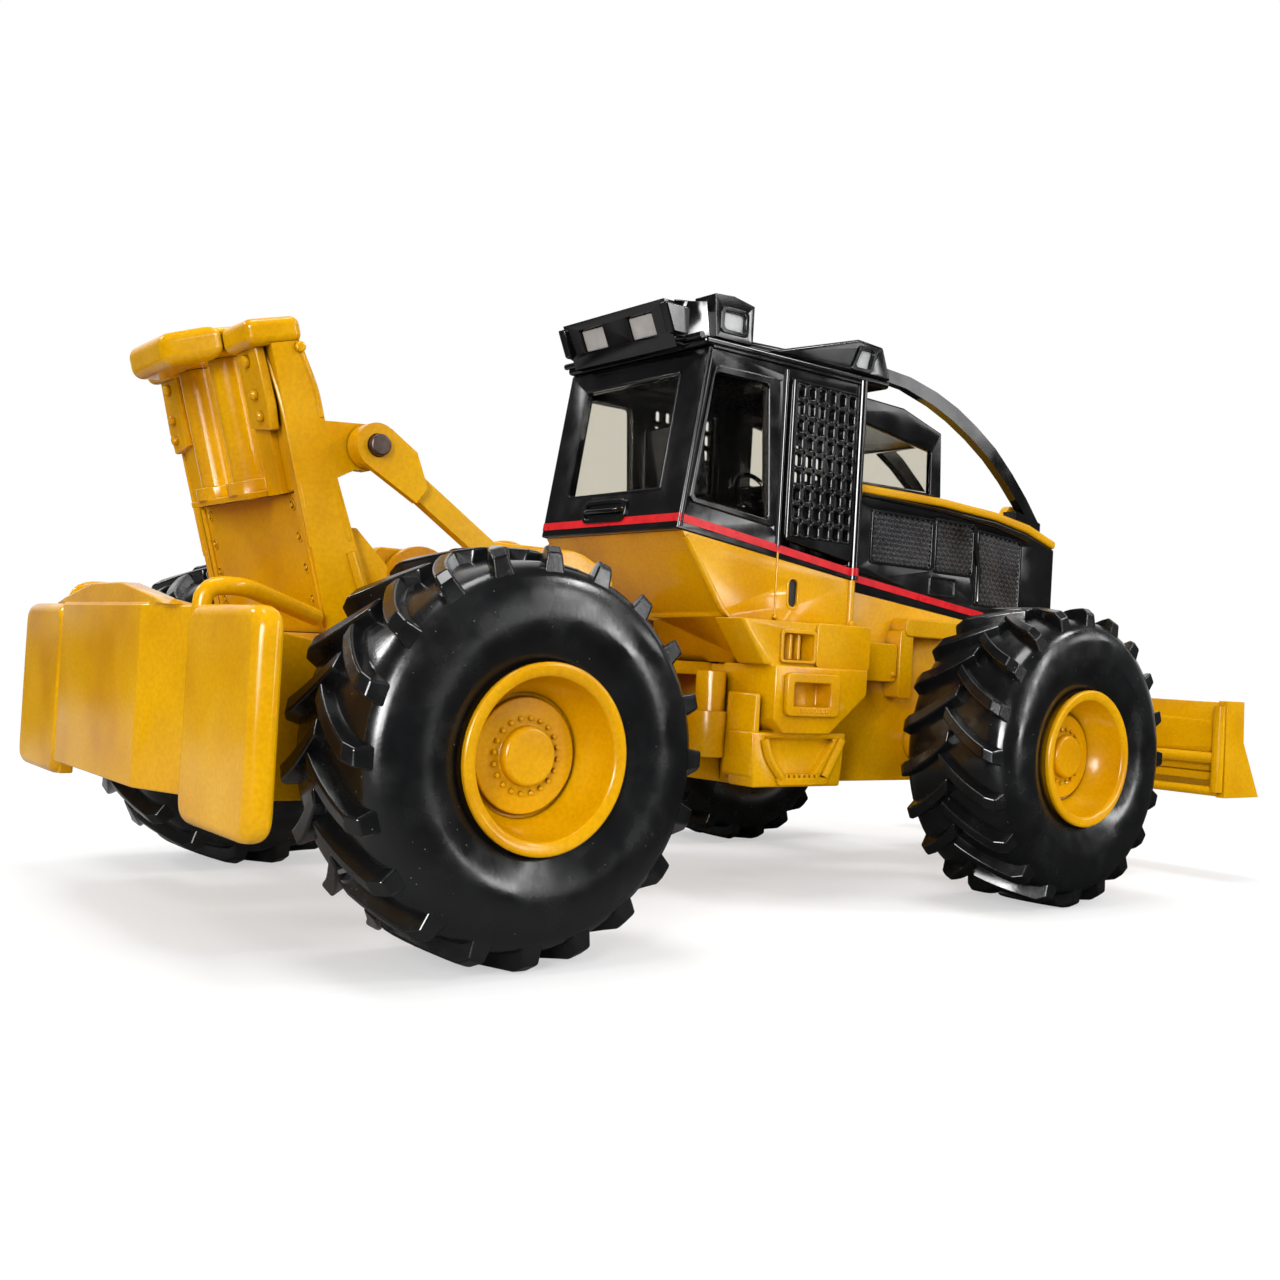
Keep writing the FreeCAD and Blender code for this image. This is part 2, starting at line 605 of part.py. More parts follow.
# ------------------------------------------------------------------ cab
cab_shell = new_body("cab_shell")
add_prism(cab_shell, "shell", "XZ", [
    (cab_rear_x + 0.1, 37.8), (cab_front_x, 34.5), (cab_front_x, cab_top_z), (31.1, cab_top_z)],
    -cab_half, cab_half)
add_prism(cab_shell, "inside", "XZ", [
    (cab_rear_x + wall, 36.0), (cab_front_x - wall, 33.0), (cab_front_x - wall, cab_top_z + 1),
    (31.1 + wall, cab_top_z + 1)], wall - cab_half, cab_half - wall, cut=True)
add_prism(cab_shell, "rear_window", "YZ", box_outline(-8.2, 42.3, 8.2, 54.4), 25, 35, cut=True)
add_prism(cab_shell, "front_opening", "YZ", box_outline(-7.2, 46.4, 7.2, 56.2), 50, 60, cut=True)
quarter_light = [(29.9, 41.2), (40.5, 40.0), (39.5, 54.4), (31.9, 54.4)]
add_prism(cab_shell, "quarter_windows", "XZ", quarter_light, -15, 15, cut=True)
door_hole = [(42.4, 37.7), (53.3, 36.1), (53.3, 55.5), (42.4, 55.5)]
add_prism(cab_shell, "door_openings", "XZ", door_hole, -15, 15, cut=True)

cab_glass = new_body("cab_glass")
for word, side in (("right", -1), ("left", 1)):
    low, high = span(side, cab_half - 0.95, cab_half - 0.35)
    add_prism(cab_glass, "quarter_pane_" + word, "XZ", quarter_light, low, high)
rear_lean = 3.2 / 19.2
add_prism(cab_glass, "rear_pane", "XZ", [
    (28.1 + 4.5 * rear_lean + 0.35, 42.3), (28.1 + 4.5 * rear_lean + 0.85, 42.3),
    (28.1 + 16.6 * rear_lean + 0.85, 54.4), (28.1 + 16.6 * rear_lean + 0.35, 54.4)], -8.2, 8.2)

interior = new_body("cab_interior")
add_prism(interior, "floor", "XZ", [
    (29.4, 37.8), (53.4, 34.9), (53.4, 35.7), (29.4, 38.6)], -11.2, 11.2)
add_prism(interior, "seat", "XZ", [
    (36, 37.6), (45, 36.5), (45, 42.4), (39.6, 42.8), (38.2, 50.5), (35.4, 50.5)], -3.6, 3.6)


def build_door_screen(label, side):
    """Upper door: a raised frame with a screen of stamped holes."""
    body = new_body(label)
    low, high = span(side, cab_half - 0.9, cab_half)
    add_prism(body, "panel", "XZ", [
        (42.5, 37.9), (53.2, 36.3), (53.2, 55.4), (42.5, 55.4)], low, high)
    low, high = span(side, cab_half, cab_half + 0.45)
    add_prism(body, "bezel", "XZ", [
        (42.6, 38.2), (53.1, 36.6), (53.1, 55.3), (42.6, 55.3)], low, high)
    low, high = span(side, cab_half - 2, cab_half + 2)
    hole = add_prism(body, "first_hole", "XZ", box_outline(43.35, 38.75, 44.25, 40.0), low, high,
                     cut=True)
    columns = doc.addObject("PartDesign::LinearPattern", label + "_columns")
    rows = doc.addObject("PartDesign::LinearPattern", label + "_rows")
    grid = body.newObject("PartDesign::MultiTransform", "screen_holes")
    for pattern, axis, length, count in ((columns, "X_Axis", 8.7, 7), (rows, "Z_Axis", 15.0, 9)):
        body.addObject(pattern)
        pattern.Direction = (origin_part(body, axis), [""])
        pattern.Length = length
        pattern.Occurrences = count
    grid.Originals = [hole]
    grid.Transformations = [columns, rows]
    body.Tip = grid
    doc.recompute()
    return body


both_sides("door_screen", build_door_screen)

# ------------------------------------------------------------------ windscreen box, roof, lights
header_front = (screen_x - 0.5, 54.6)
windscreen = new_body("windscreen_frame")
add_prism(windscreen, "front_box", "XZ", [
    (cab_front_x, 46.5), (screen_x, 46.5), header_front, (66, 56.6), (cab_front_x, 57.0)],
    -8.1, 8.1)
add_prism(windscreen, "front_room", "XZ", [
    (cab_front_x - 1, 45), (screen_x - 0.9, 45), (screen_x - 1.3, 53.2), (66, 55.2),
    (cab_front_x - 1, 55.8)], -7.3, 7.3, cut=True)
side_light = [(cab_front_x + 0.9, 46.9), (screen_x - 2.1, 46.9), (screen_x - 2.3, 52.0),
              (cab_front_x + 0.9, 54.3)]
add_prism(windscreen, "side_lights", "XZ", side_light, -10, 10, cut=True)
add_prism(windscreen, "front_light", "YZ", box_outline(-6.8, 46.9, 6.8, 53.0), 65, 76, cut=True)

for word, side in (("right", -1), ("left", 1)):
    low, high = span(side, 7.4, 7.9)
    add_prism(cab_glass, "side_pane_" + word, "XZ", side_light, low, high)
add_prism(cab_glass, "front_pane", "XZ", [
    (screen_x - 0.7, 46.9), (screen_x - 0.3, 46.9), (screen_x - 0.75, 53.0),
    (screen_x - 1.15, 53.0)], -6.8, 6.8)

roof = new_body("roof")
add_prism(roof, "slab", "XZ", [
    (30.4, 57.0), (58.5, 57.0), (58.5, 58.0), (30.4, 58.0)], -12.4, 12.4)
add_prism(roof, "crown", "XZ", [
    (37, 58.0), (60.4, 58.0), (60.4, 60.5), (40, 59.8)], -8.5, 8.5)

light_bar = new_body("rear_light_bar")
add_prism(light_bar, "collar", "XZ", [
    (29.3, 57.0), (30.4, 57.0), (30.4, 58.0), (36.9, 58.0), (36.9, 61.6), (27.2, 61.6)],
    -9.1, 9.1)
for word, side in (("right", -1), ("left", 1)):
    low, high = span(side, 9.1, 12.4)
    add_prism(light_bar, "side_box_" + word, "XZ", [
        (31.8, 58.0), (36.9, 58.0), (36.9, 62.1), (34, 62.6), (31.4, 62.4)], low, high)
    add_prism(light_bar, "corner_" + word, "XY", [
        (28.6, 9.1 * side), (30.2, 9.8 * side), (31.8, 11.4 * side), (31.8, 9.1 * side)],
        58.0, 61.8)
for word, side in (("right", -1), ("left", 1)):
    add_prism(light_bar, "rear_lamp_seat_" + word, "YZ",
              box_outline(2.1 * side, 58.5, 6.5 * side, 60.8), 25, 30.0, cut=True)
    low, high = span(side, 11.7, 14)
    add_prism(light_bar, "side_lamp_seat_" + word, "XZ",
              box_outline(32.6, 58.9, 35.8, 61.0), low, high, cut=True)

pods = new_body("front_light_pods")
for word, side in (("right", -1), ("left", 1)):
    low, high = span(side, 8.8, 12.4)
    add_prism(pods, "pod_" + word, "XZ", [
        (39.5, 58.0), (58.5, 58.0), (57.0, 61.6), (53.0, 61.8)], low, high)
    low, high = span(side, 11.7, 14)
    add_prism(pods, "pod_lamp_seat_" + word, "XZ", [
        (52.2, 58.5), (54.9, 58.5), (55.6, 60.9), (53.4, 60.9)], low, high, cut=True)

lamps = new_body("lamp_lenses")
for word, side in (("right", -1), ("left", 1)):
    low, high = span(side, 11.7, 12.1)
    add_prism(lamps, "side_lens_" + word, "XZ", box_outline(32.65, 58.95, 35.75, 60.95),
              low, high)
    add_prism(lamps, "pod_lens_" + word, "XZ", [
        (52.3, 58.55), (54.85, 58.55), (55.5, 60.85), (53.45, 60.85)], low, high)
    low, high = span(side, 2.15, 6.45)
    add_prism(lamps, "rear_lens_" + word, "XZ", [
        (28.95, 58.55), (30.0, 58.55), (30.0, 60.75), (27.95, 60.75)], low, high)


def build_riser(label, side):
    """A limb riser: a curved flat bar from the roof to its bracket on the hood."""
    body = new_body(label)
    low, high = span(side, 7.2, 8.4)
    top = [(60.4, 60.8), (62, 60.7), (66.5, 60.4), (71.5, 59.4), (75.6, 58.1), (79.6, 56.3),
           (83.6, 54.1), (87.3, 51.3), (90.5, 48.5), (93.2, 45.7)]
    under = [(91.6, 45.2), (88.9, 47.6), (85.8, 50.2), (82.4, 52.6), (78.6, 54.7), (74.8, 56.4),
             (71.0, 57.7), (65.8, 58.9), (60.4, 59.3)]
    add_prism(body, "bar", "XZ", top + under, low, high)
    low, high = span(side, 6.4, 8.4)
    add_prism(body, "foot", "XZ", [
        (88.4, 45.46), (91.2, 45.1), (93.8, 44.37), (93.8, 45.5), (91.8, 46.1), (88.4, 46.6)],
        low, high)
    return body


both_sides("limb_riser", build_riser)

# ------------------------------------------------------------------ hood
hood_body = new_body("hood_body")
hood_line = [(cab_front_x, 45.3), (73.5, 45.4), (84, 44.9), (91, 43.9), (nose_x, 42.3)]
add_prism(hood_body, "sides", "XZ", [
    (cab_front_x, sill_rear_z), (96, sill_front_z), (nose_x, 30.9)] + hood_line[::-1],
    -hood_half, hood_half)
grille_bays = {"front_bay": box_outline(61.0, 37.6, 71.6, 43.4),
               "middle_bay": box_outline(72.6, 37.4, 79.6, 43.6),
               "rear_bay": [(80.8, 33.9), (89.4, 33.7), (89.4, 42.4), (80.8, 43.0)]}
for word, side in (("right", -1), ("left", 1)):
    for name, bay in grille_bays.items():
        low, high = span(side, hood_half - 0.5, hood_half + 1)
        add_prism(hood_body, name + "_" + word, "XZ", bay, low, high, cut=True)
add_prism(hood_body, "nose_bay", "YZ", box_outline(-6.8, 34.6, 6.8, 41.6), nose_x - 0.6,
          nose_x + 2, cut=True)

grilles = new_body("hood_grilles")


def inset(outline, gap):
    """Shrink a four-cornered outline towards its centre."""
    cu = sum(as_size(u).value for u, v in outline) / 4
    cv = sum(as_size(v).value for u, v in outline) / 4
    return [(u + (gap if as_size(u).value < cu else -gap),
             v + (gap if as_size(v).value < cv else -gap)) for u, v in outline]


for word, side in (("right", -1), ("left", 1)):
    for name, bay in grille_bays.items():
        low, high = span(side, hood_half - 0.5, hood_half - 0.15)
        add_prism(grilles, name + "_mesh_" + word, "XZ", inset(bay, 0.1), low, high)
add_prism(grilles, "nose_mesh", "YZ", box_outline(-6.7, 34.7, 6.7, 41.5), nose_x - 0.6,
          nose_x - 0.2)

hood_top = new_body("hood_top")
add_prism(hood_top, "cover", "XZ", hood_line + [
    (nose_x + 0.2, 43.4), (91.2, 45.1), (84, 46.0), (73.5, 46.5), (cab_front_x, 46.5)],
    -hood_half - 0.15, hood_half + 0.15)

# ------------------------------------------------------------------ blade
blade_arms = new_body("blade_arms")
for word, side in (("right", -1), ("left", 1)):
    low, high = span(side, 9.8, 12.0)
    add_prism(blade_arms, "arm_" + word, "XZ", [
        (arm_pin_x, arm_pin_z - 1.8), (blade_back_x + 0.6, 12.0), (blade_back_x + 0.6, 15.8),
        (arm_pin_x, arm_pin_z + 1.8)], low, high)
    add_prism(blade_arms, "eye_" + word, "XZ", (arm_pin_x, arm_pin_z, 1.8), low, high)
add_prism(blade_arms, "pin_holes", "XZ", (arm_pin_x, arm_pin_z, 0.9 + running_gap), -14, 14,
          cut=True)

arm_pins = new_body("front_arm_pins")
add_prism(arm_pins, "pivot_shaft", "XZ", (arm_pin_x, arm_pin_z, 0.9), -12.6, 12.6)

mouldboard = new_body("blade")
add_prism(mouldboard, "board", "XZ", [
    (109.4, 23.1), (107.9, 20.6), (107.3, 17.4), (108.0, 14.2), (110.2, 12.0), (113.4, 10.9),
    (blade_tip_x, 10.9), (112.4, 12.8), (110.4, 15.0), (109.6, 17.6), (109.9, 20.4),
    (111.1, 23.1)], -blade_half, blade_half)
for level in (16.0, 13.0):
    add_prism(mouldboard, "rib_%d" % level, "XZ",
              box_outline(blade_back_x + 0.65, level, blade_back_x + 2.6, level + 1.0),
              1.2 - blade_half, blade_half - 1.2)
for word, side in (("right", -1), ("left", 1)):
    low, high = span(side, blade_half - 1.2, blade_half)
    add_prism(mouldboard, "end_plate_" + word, "XZ", [
        (blade_back_x, 23.3), (111.3, 23.3), (111.6, 18.0), (blade_tip_x, 10.9), (107.4, 10.9)],
        low, high)

# ------------------------------------------------------------------ checks and export
doc.recompute()
os.makedirs("parts", exist_ok=True)
faults = []
for thing in doc.Objects:
    if "Invalid" in thing.State or "Error" in thing.State:
        faults.append("%s: %s" % (thing.Label, thing.State))
for body in doc.Objects:
    if body.TypeId != "PartDesign::Body":
        continue
    shape = body.Shape
    if shape.isNull() or not shape.isValid() or shape.Volume <= 0:
        faults.append("%s: bad shape" % body.Label)
        continue
    shape.exportStep("parts/%s.step" % body.Label)
print("nodes written:", len(os.listdir("parts")))
if faults:
    raise RuntimeError("; ".join(faults))
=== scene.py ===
"""Looks of a toy cable skidder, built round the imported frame.

Lengths inside the classes are millimetres in the machine's own axes: x runs
forward from the rear axle, y to the left from the middle, z up from the floor.
"""
import json
import logging
import math
from dataclasses import dataclass, field, fields
from enum import Enum
from typing import Callable, Optional, Sequence

import bpy
from mathutils import Matrix, Vector


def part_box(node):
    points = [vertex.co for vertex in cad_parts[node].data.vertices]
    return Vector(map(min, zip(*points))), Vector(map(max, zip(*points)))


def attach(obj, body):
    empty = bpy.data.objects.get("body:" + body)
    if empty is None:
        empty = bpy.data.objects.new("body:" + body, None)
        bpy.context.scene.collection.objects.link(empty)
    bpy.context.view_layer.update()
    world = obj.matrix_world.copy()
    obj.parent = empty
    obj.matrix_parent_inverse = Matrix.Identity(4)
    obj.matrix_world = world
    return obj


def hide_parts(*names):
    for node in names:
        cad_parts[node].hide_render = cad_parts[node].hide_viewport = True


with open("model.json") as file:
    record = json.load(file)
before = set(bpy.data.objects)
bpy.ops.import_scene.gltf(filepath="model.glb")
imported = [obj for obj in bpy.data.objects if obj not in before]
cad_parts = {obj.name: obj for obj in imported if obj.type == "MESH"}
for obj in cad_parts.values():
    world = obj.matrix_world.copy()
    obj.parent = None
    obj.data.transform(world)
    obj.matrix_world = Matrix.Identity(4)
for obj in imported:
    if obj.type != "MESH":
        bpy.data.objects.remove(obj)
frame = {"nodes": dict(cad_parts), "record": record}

log = logging.getLogger("skidder")
MM = 0.001
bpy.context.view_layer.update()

Point = tuple[float, float, float]
Colour = tuple[float, float, float, float]
Shades = tuple[tuple[float, str], ...]
Outline = Sequence[tuple[float, float]]
Corners = list[tuple[float, float]]
Place = Callable[[float, float, float], Vector]
Piece = bpy.types.Object
Tree = bpy.types.NodeTree
Socket = bpy.types.NodeSocket

TURN = 2 * math.pi
ARCH_LEAN = math.radians(15.6)
ARCH_FOOT = (-8.9, 26.2)
CAB_REAR_FOOT = (28.03, 37.8)
CAB_REAR_RISE = 6.4
FLAT_ANGLE = math.radians(0.6)
SHADE_ANGLE = math.radians(38)
TUBE_SHADE_ANGLE = math.radians(45)
SHARP_ANGLE = math.radians(40)
SAME_PLACE = 2e-6
WHITE = (1.0, 1.0, 1.0, 1.0)
MIRROR = Matrix.Scale(-1, 4, Vector((0, 1, 0)))
NOISE_SPAN = (0.3, 0.7)


def axle_offset() -> float:
    """Give the rear axle's place along the frame's X, in metres."""
    low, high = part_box("rear_axle")
    return (low[0] + high[0]) / 2


REAR_AXLE_X = axle_offset()


def at(x: float, y: float, z: float) -> Vector:
    """Turn a place on the machine, in millimetres, into frame metres."""
    return Vector((REAR_AXLE_X + x * MM, y * MM, z * MM))


class Side(Enum):
    """The two sides of the machine, with the sign of their y."""

    RIGHT = -1
    LEFT = 1

    @property
    def word(self) -> str:
        """Give the side's name for a piece."""
        return self.name.lower()


def on_side(level: float, side: Side = Side.RIGHT) -> Place:
    """Give an upright plane along the machine: x, z and the distance outwards."""
    return lambda x, z, out: at(x, side.value * (level + out), z)


def on_rear(level: float) -> Place:
    """Give an upright plane across the machine that faces back: y, z, outwards."""
    return lambda y, z, out: at(level - out, y, z)


def on_front(level: float) -> Place:
    """Give an upright plane across the machine that faces ahead: y, z, outwards."""
    return lambda y, z, out: at(level + out, y, z)


def on_cab_rear(y: float, z: float, out: float) -> Vector:
    """Give a place on the cab's rear wall, which leans ahead as it rises."""
    x, foot = CAB_REAR_FOOT
    return at(x + (z - foot) / CAB_REAR_RISE - out, y, z)


def on_arch_rear(y: float, up: float, out: float) -> Vector:
    """Give a place on the arch's rear plane: across, along its lean, outwards."""
    x, z = ARCH_FOOT
    return at(x - out * math.cos(ARCH_LEAN) - up * math.sin(ARCH_LEAN), y,
              z - out * math.sin(ARCH_LEAN) + up * math.cos(ARCH_LEAN))


def circle(sides: int) -> Corners:
    """List the corners of a unit circle."""
    return [(math.cos(TURN * k / sides), math.sin(TURN * k / sides)) for k in range(sides)]


# ------------------------------------------------------------------ finishes
def linear(hex_colour: str) -> Colour:
    """Turn an sRGB hex colour into linear light.

    Args:
        hex_colour: colour such as "#E0A500".

    Returns:
        Red, green, blue and an alpha of 1.
    """
    values = [int(hex_colour[i:i + 2], 16) / 255 for i in (1, 3, 5)]
    light = [v / 12.92 if v <= 0.04045 else ((v + 0.055) / 1.055) ** 2.4 for v in values]
    return (light[0], light[1], light[2], 1.0)


def add_node(tree: Tree, kind: str, settings: Optional[dict] = None,
             links: Optional[dict] = None) -> bpy.types.Node:
    """Add a shader node.

    Args:
        tree: node tree that gets the node.
        kind: node type, such as "ShaderNodeTexNoise".
        settings: property and input names with their values; "stops" holds a colour
            ramp's places and hex colours, and "#2" means the input of that index.
        links: input names, or "#2" and the like, with the sockets that feed them.

    Returns:
        The new node.
    """
    node = tree.nodes.new(kind)
    for name, value in (settings or {}).items():
        if name == "stops":
            bands = node.color_ramp.elements
            while len(bands) < len(value):
                bands.new(0.5)
            for band, (place, colour) in zip(bands, value):
                band.position, band.color = place, linear(colour)
        elif name.startswith("#"):
            node.inputs[int(name[1:])].default_value = value
        elif name in node.inputs:
            node.inputs[name].default_value = value
        else:
            setattr(node, name, value)
    for name, source in (links or {}).items():
        key = int(name[1:]) if name.startswith("#") else name
        tree.links.new(source, node.inputs[key])
    return node


def new_material(name: str) -> tuple[bpy.types.Material, Tree, bpy.types.Node]:
    """Start a material.

    Args:
        name: name of the material.

    Returns:
        The material, its empty node tree and its output node.
    """
    material = bpy.data.materials.new(name)
    material.use_nodes = True
    tree = material.node_tree
    tree.nodes.clear()
    return material, tree, tree.nodes.new("ShaderNodeOutputMaterial")


@dataclass(frozen=True)
class Grain:
    """A noise on object coordinates: the width of its blotches and its detail."""

    wide_mm: float
    detail: float

    def lay(self, tree: Tree) -> Socket:
        """Lay the noise.

        Args:
            tree: node tree that gets it.

        Returns:
            Its value, most of it within NOISE_SPAN.
        """
        place = add_node(tree, "ShaderNodeTexCoord")
        texture = add_node(tree, "ShaderNodeTexNoise",
                           {"Scale": 1 / (self.wide_mm * MM), "Detail": self.detail},
                           {"Vector": place.outputs["Object"]})
        return texture.outputs["Fac"]


@dataclass(frozen=True)
class Finish:
    """A real surface, whose colour drifts, gloss varies and skin isn't quite flat."""

    name: str
    slot: str
    shades: Shades = ()
    drift: Grain = Grain(5.0, 3.0)
    roughness: float = 0.2
    gloss_span: tuple[float, float] = (-0.05, 0.1)
    handling: Grain = Grain(4.0, 3.0)
    skin: Grain = Grain(1.0, 2.0)
    skin_mm: float = 0.02
    skin_strength: float = 0.35
    optics: dict = field(default_factory=dict)

    def colour(self, tree: Tree) -> Socket:
        """Let the colour drift from shade to shade.

        Args:
            tree: node tree that gets the pattern.

        Returns:
            The colour.
        """
        node = add_node(tree, "ShaderNodeValToRGB", {"stops": self.shades},
                        {"Fac": self.drift.lay(tree)})
        return node.outputs["Color"]

    def sheen(self, tree: Tree) -> Socket:
        """Vary the gloss, as handling and drying leave it.

        Args:
            tree: node tree that gets the pattern.

        Returns:
            The roughness.
        """
        low, high = NOISE_SPAN
        less, more = self.gloss_span
        node = add_node(tree, "ShaderNodeMapRange",
                        {"From Min": low, "From Max": high, "To Min": self.roughness + less,
                         "To Max": self.roughness + more}, {"Value": self.handling.lay(tree)})
        return node.outputs["Result"]

    def height(self, tree: Tree) -> Socket:
        """Give the pattern that the skin rises and falls by."""
        return self.skin.lay(tree)

    def relief(self, tree: Tree) -> Socket:
        """Turn the skin's height into a surface normal.

        Args:
            tree: node tree that gets the pattern.

        Returns:
            The normal.
        """
        node = add_node(tree, "ShaderNodeBump",
                        {"Strength": self.skin_strength, "Distance": self.skin_mm * MM},
                        {"Height": self.height(tree)})
        return node.outputs["Normal"]

    def make(self) -> bpy.types.Material:
        """Build the material; an input named in `optics` keeps that plain value.

        Returns:
            The finish's material.
        """
        material, tree, output = new_material(self.name)
        patterns = {"Base Color": self.colour, "Roughness": self.sheen, "Normal": self.relief}
        shader = add_node(tree, "ShaderNodeBsdfPrincipled", self.optics,
                          {socket: lay(tree) for socket, lay in patterns.items()
                           if socket not in self.optics})
        tree.links.new(shader.outputs[0], output.inputs[0])
        return material


@dataclass(frozen=True)
class Enamel(Finish):
    """Sprayed gloss enamel on die-cast zinc.

    It gives the eye a warm deep yellow with wet highlights and a slight orange peel,
    and painted shade that browns it in corners and narrow gaps, where paint also pools.
    """

    name: str = "enamel_on_die_cast"
    slot: str = "yellow_enamel"
    shades: Shades = ((0.30, "#CC8E00"), (0.50, "#DB9F00"), (0.72, "#E2A806"))
    drift: Grain = Grain(9.0, 2.0)
    roughness: float = 0.18
    gloss_span: tuple[float, float] = (-0.05, 0.07)
    handling: Grain = Grain(5.0, 4.0)
    # Real orange peel is a few tenths of a millimetre wide: drawn coarser, to show.
    skin: Grain = Grain(1.1, 1.5)
    optics: dict = field(default_factory=lambda: {"IOR": 1.5, "Specular IOR Level": 0.26})
    # Real pigment is far finer: its grit is drawn coarse enough to show.
    pigment: Grain = Grain(0.35, 2.0)
    pigment_shades: Shades = ((0.35, "#F3F2EF"), (0.65, "#FFFFFF"))
    # Painted shade: the brown that corners and narrow gaps turn towards.
    pool: str = "#5E3800"
    corner_mm: float = 1.1
    open_span: tuple[float, float] = (0.15, 0.66)

    def colour(self, tree: Tree) -> Socket:
        """Mottle the drifting yellow, and brown it with painted shade in corners and gaps.

        Args:
            tree: node tree that gets the pattern.

        Returns:
            The colour.
        """
        grit = add_node(tree, "ShaderNodeValToRGB", {"stops": self.pigment_shades},
                        {"Fac": self.pigment.lay(tree)})
        mottled = add_node(tree, "ShaderNodeMix",
                           {"data_type": "RGBA", "blend_type": "MULTIPLY", "#0": 1.0},
                           {"#6": super().colour(tree), "#7": grit.outputs["Color"]})
        # Painted shade: ambient occlusion browns the yellow in corners and narrow gaps.
        corners = add_node(tree, "ShaderNodeAmbientOcclusion",
                           {"samples": 6, "Distance": self.corner_mm * MM})
        tight, clear = self.open_span
        corner_shade_share = add_node(tree, "ShaderNodeMapRange",
                          {"From Min": tight, "From Max": clear, "To Min": 1.0, "To Max": 0.0},
                          {"Value": corners.outputs["AO"]})
        coat = add_node(tree, "ShaderNodeMix", {"data_type": "RGBA", "#7": linear(self.pool)},
                        {"#0": corner_shade_share.outputs["Result"], "#6": mottled.outputs[2]})
        return coat.outputs[2]


@dataclass(frozen=True)
class Dusty(Finish):
    """A dark surface on which specks of dust and lint lie."""

    speck_spacing_mm: float = 1.9
    speck_size: float = 0.035
    speck_core: float = 0.6
    patch_spacings: float = 3.1
    patch_share: float = 0.52
    dust: float = 0.15
    dust_colour: str = "#8C8C8A"

    def specks(self, tree: Tree) -> Socket:
        """Scatter small round specks, sparse in places.

        Args:
            tree: node tree that gets the pattern.

        Returns:
            A value of 1 on a speck and 0 elsewhere.
        """
        place = add_node(tree, "ShaderNodeTexCoord")
        cells = add_node(tree, "ShaderNodeTexVoronoi",
                         {"Scale": 1 / (self.speck_spacing_mm * MM), "Randomness": 1.0},
                         {"Vector": place.outputs["Object"]})
        near = add_node(tree, "ShaderNodeMapRange",
                        {"From Min": self.speck_size * self.speck_core,
                         "From Max": self.speck_size,
                         "To Min": 1.0, "To Max": 0.0}, {"Value": cells.outputs["Distance"]})
        patches = Grain(self.speck_spacing_mm * self.patch_spacings, 3.0)
        sparse = add_node(tree, "ShaderNodeMath",
                          {"operation": "GREATER_THAN", "#1": self.patch_share},
                          {"#0": patches.lay(tree)})
        kept = add_node(tree, "ShaderNodeMath", {"operation": "MULTIPLY"},
                        {"#0": near.outputs["Result"], "#1": sparse.outputs[0]})
        return kept.outputs[0]

    def colour(self, tree: Tree) -> Socket:
        """Lay the dust over the drifting colour.

        Args:
            tree: node tree that gets the pattern.

        Returns:
            The colour.
        """
        faint = add_node(tree, "ShaderNodeMath", {"operation": "MULTIPLY", "#1": self.dust},
                         {"#0": self.specks(tree)})
        dusted = add_node(tree, "ShaderNodeMix",
                          {"data_type": "RGBA", "#7": linear(self.dust_colour)},
                          {"#0": faint.outputs[0], "#6": super().colour(tree)})
        return dusted.outputs[2]


@dataclass(frozen=True)
class MouldedAbs(Dusty):
    """Black ABS, injection moulded.

    It gives the eye a deep black with sharp highlights, broken up by faint flow
    marks, handling smears and a little dust.
    """

    name: str = "black_abs_body"
    slot: str = "black_plastic"
    shades: Shades = ((0.35, "#080809"), (0.75, "#121213"))
    drift: Grain = Grain(6.0, 3.0)
    roughness: float = 0.10
    handling: Grain = Grain(3.5, 5.0)
    skin: Grain = Grain(2.2, 2.0)
    skin_mm: float = 0.012
    skin_strength: float = 0.3
    optics: dict = field(default_factory=lambda: {"IOR": 1.53, "Specular IOR Level": 0.42})


@dataclass(frozen=True)
class TyreRubber(Dusty):
    """Soft black toy rubber, moulded.

    It gives the eye a satin black with a patchy sheen, and pale dust on it.
    """

    name: str = "moulded_tyre_rubber"
    slot: str = "tyre_rubber"
    shades: Shades = ((0.30, "#0D0D0E"), (0.60, "#111213"), (0.85, "#1C1D1E"))
    drift: Grain = Grain(4.0, 5.0)
    roughness: float = 0.20
    gloss_span: tuple[float, float] = (-0.09, 0.12)
    handling: Grain = Grain(2.6, 6.0)
    # The mould's real grain is finer: drawn at a third of a millimetre, to show.
    skin: Grain = Grain(0.35, 3.0)
    optics: dict = field(default_factory=lambda: {"IOR": 1.52, "Specular IOR Level": 0.42})
    speck_spacing_mm: float = 0.8
    speck_size: float = 0.08
    dust: float = 0.5
    dust_colour: str = "#7E7E7C"


@dataclass(frozen=True)
class ClearStyrene(Finish):
    """Clear moulded polystyrene panes.

    They give the eye a smoky see-through sheet with faint moulding waves. The low
    IOR stands for a pane whose two faces cancel each other's bending.
    """

    name: str = "clear_styrene_panes"
    slot: str = "clear_plastic"
    roughness: float = 0.04
    gloss_span: tuple[float, float] = (-0.02, 0.04)
    skin: Grain = Grain(5.0, 1.0)
    skin_mm: float = 0.03
    skin_strength: float = 0.25
    optics: dict = field(default_factory=lambda: {
        "Base Color": linear("#E2DFD6"), "IOR": 1.08, "Transmission Weight": 1.0})


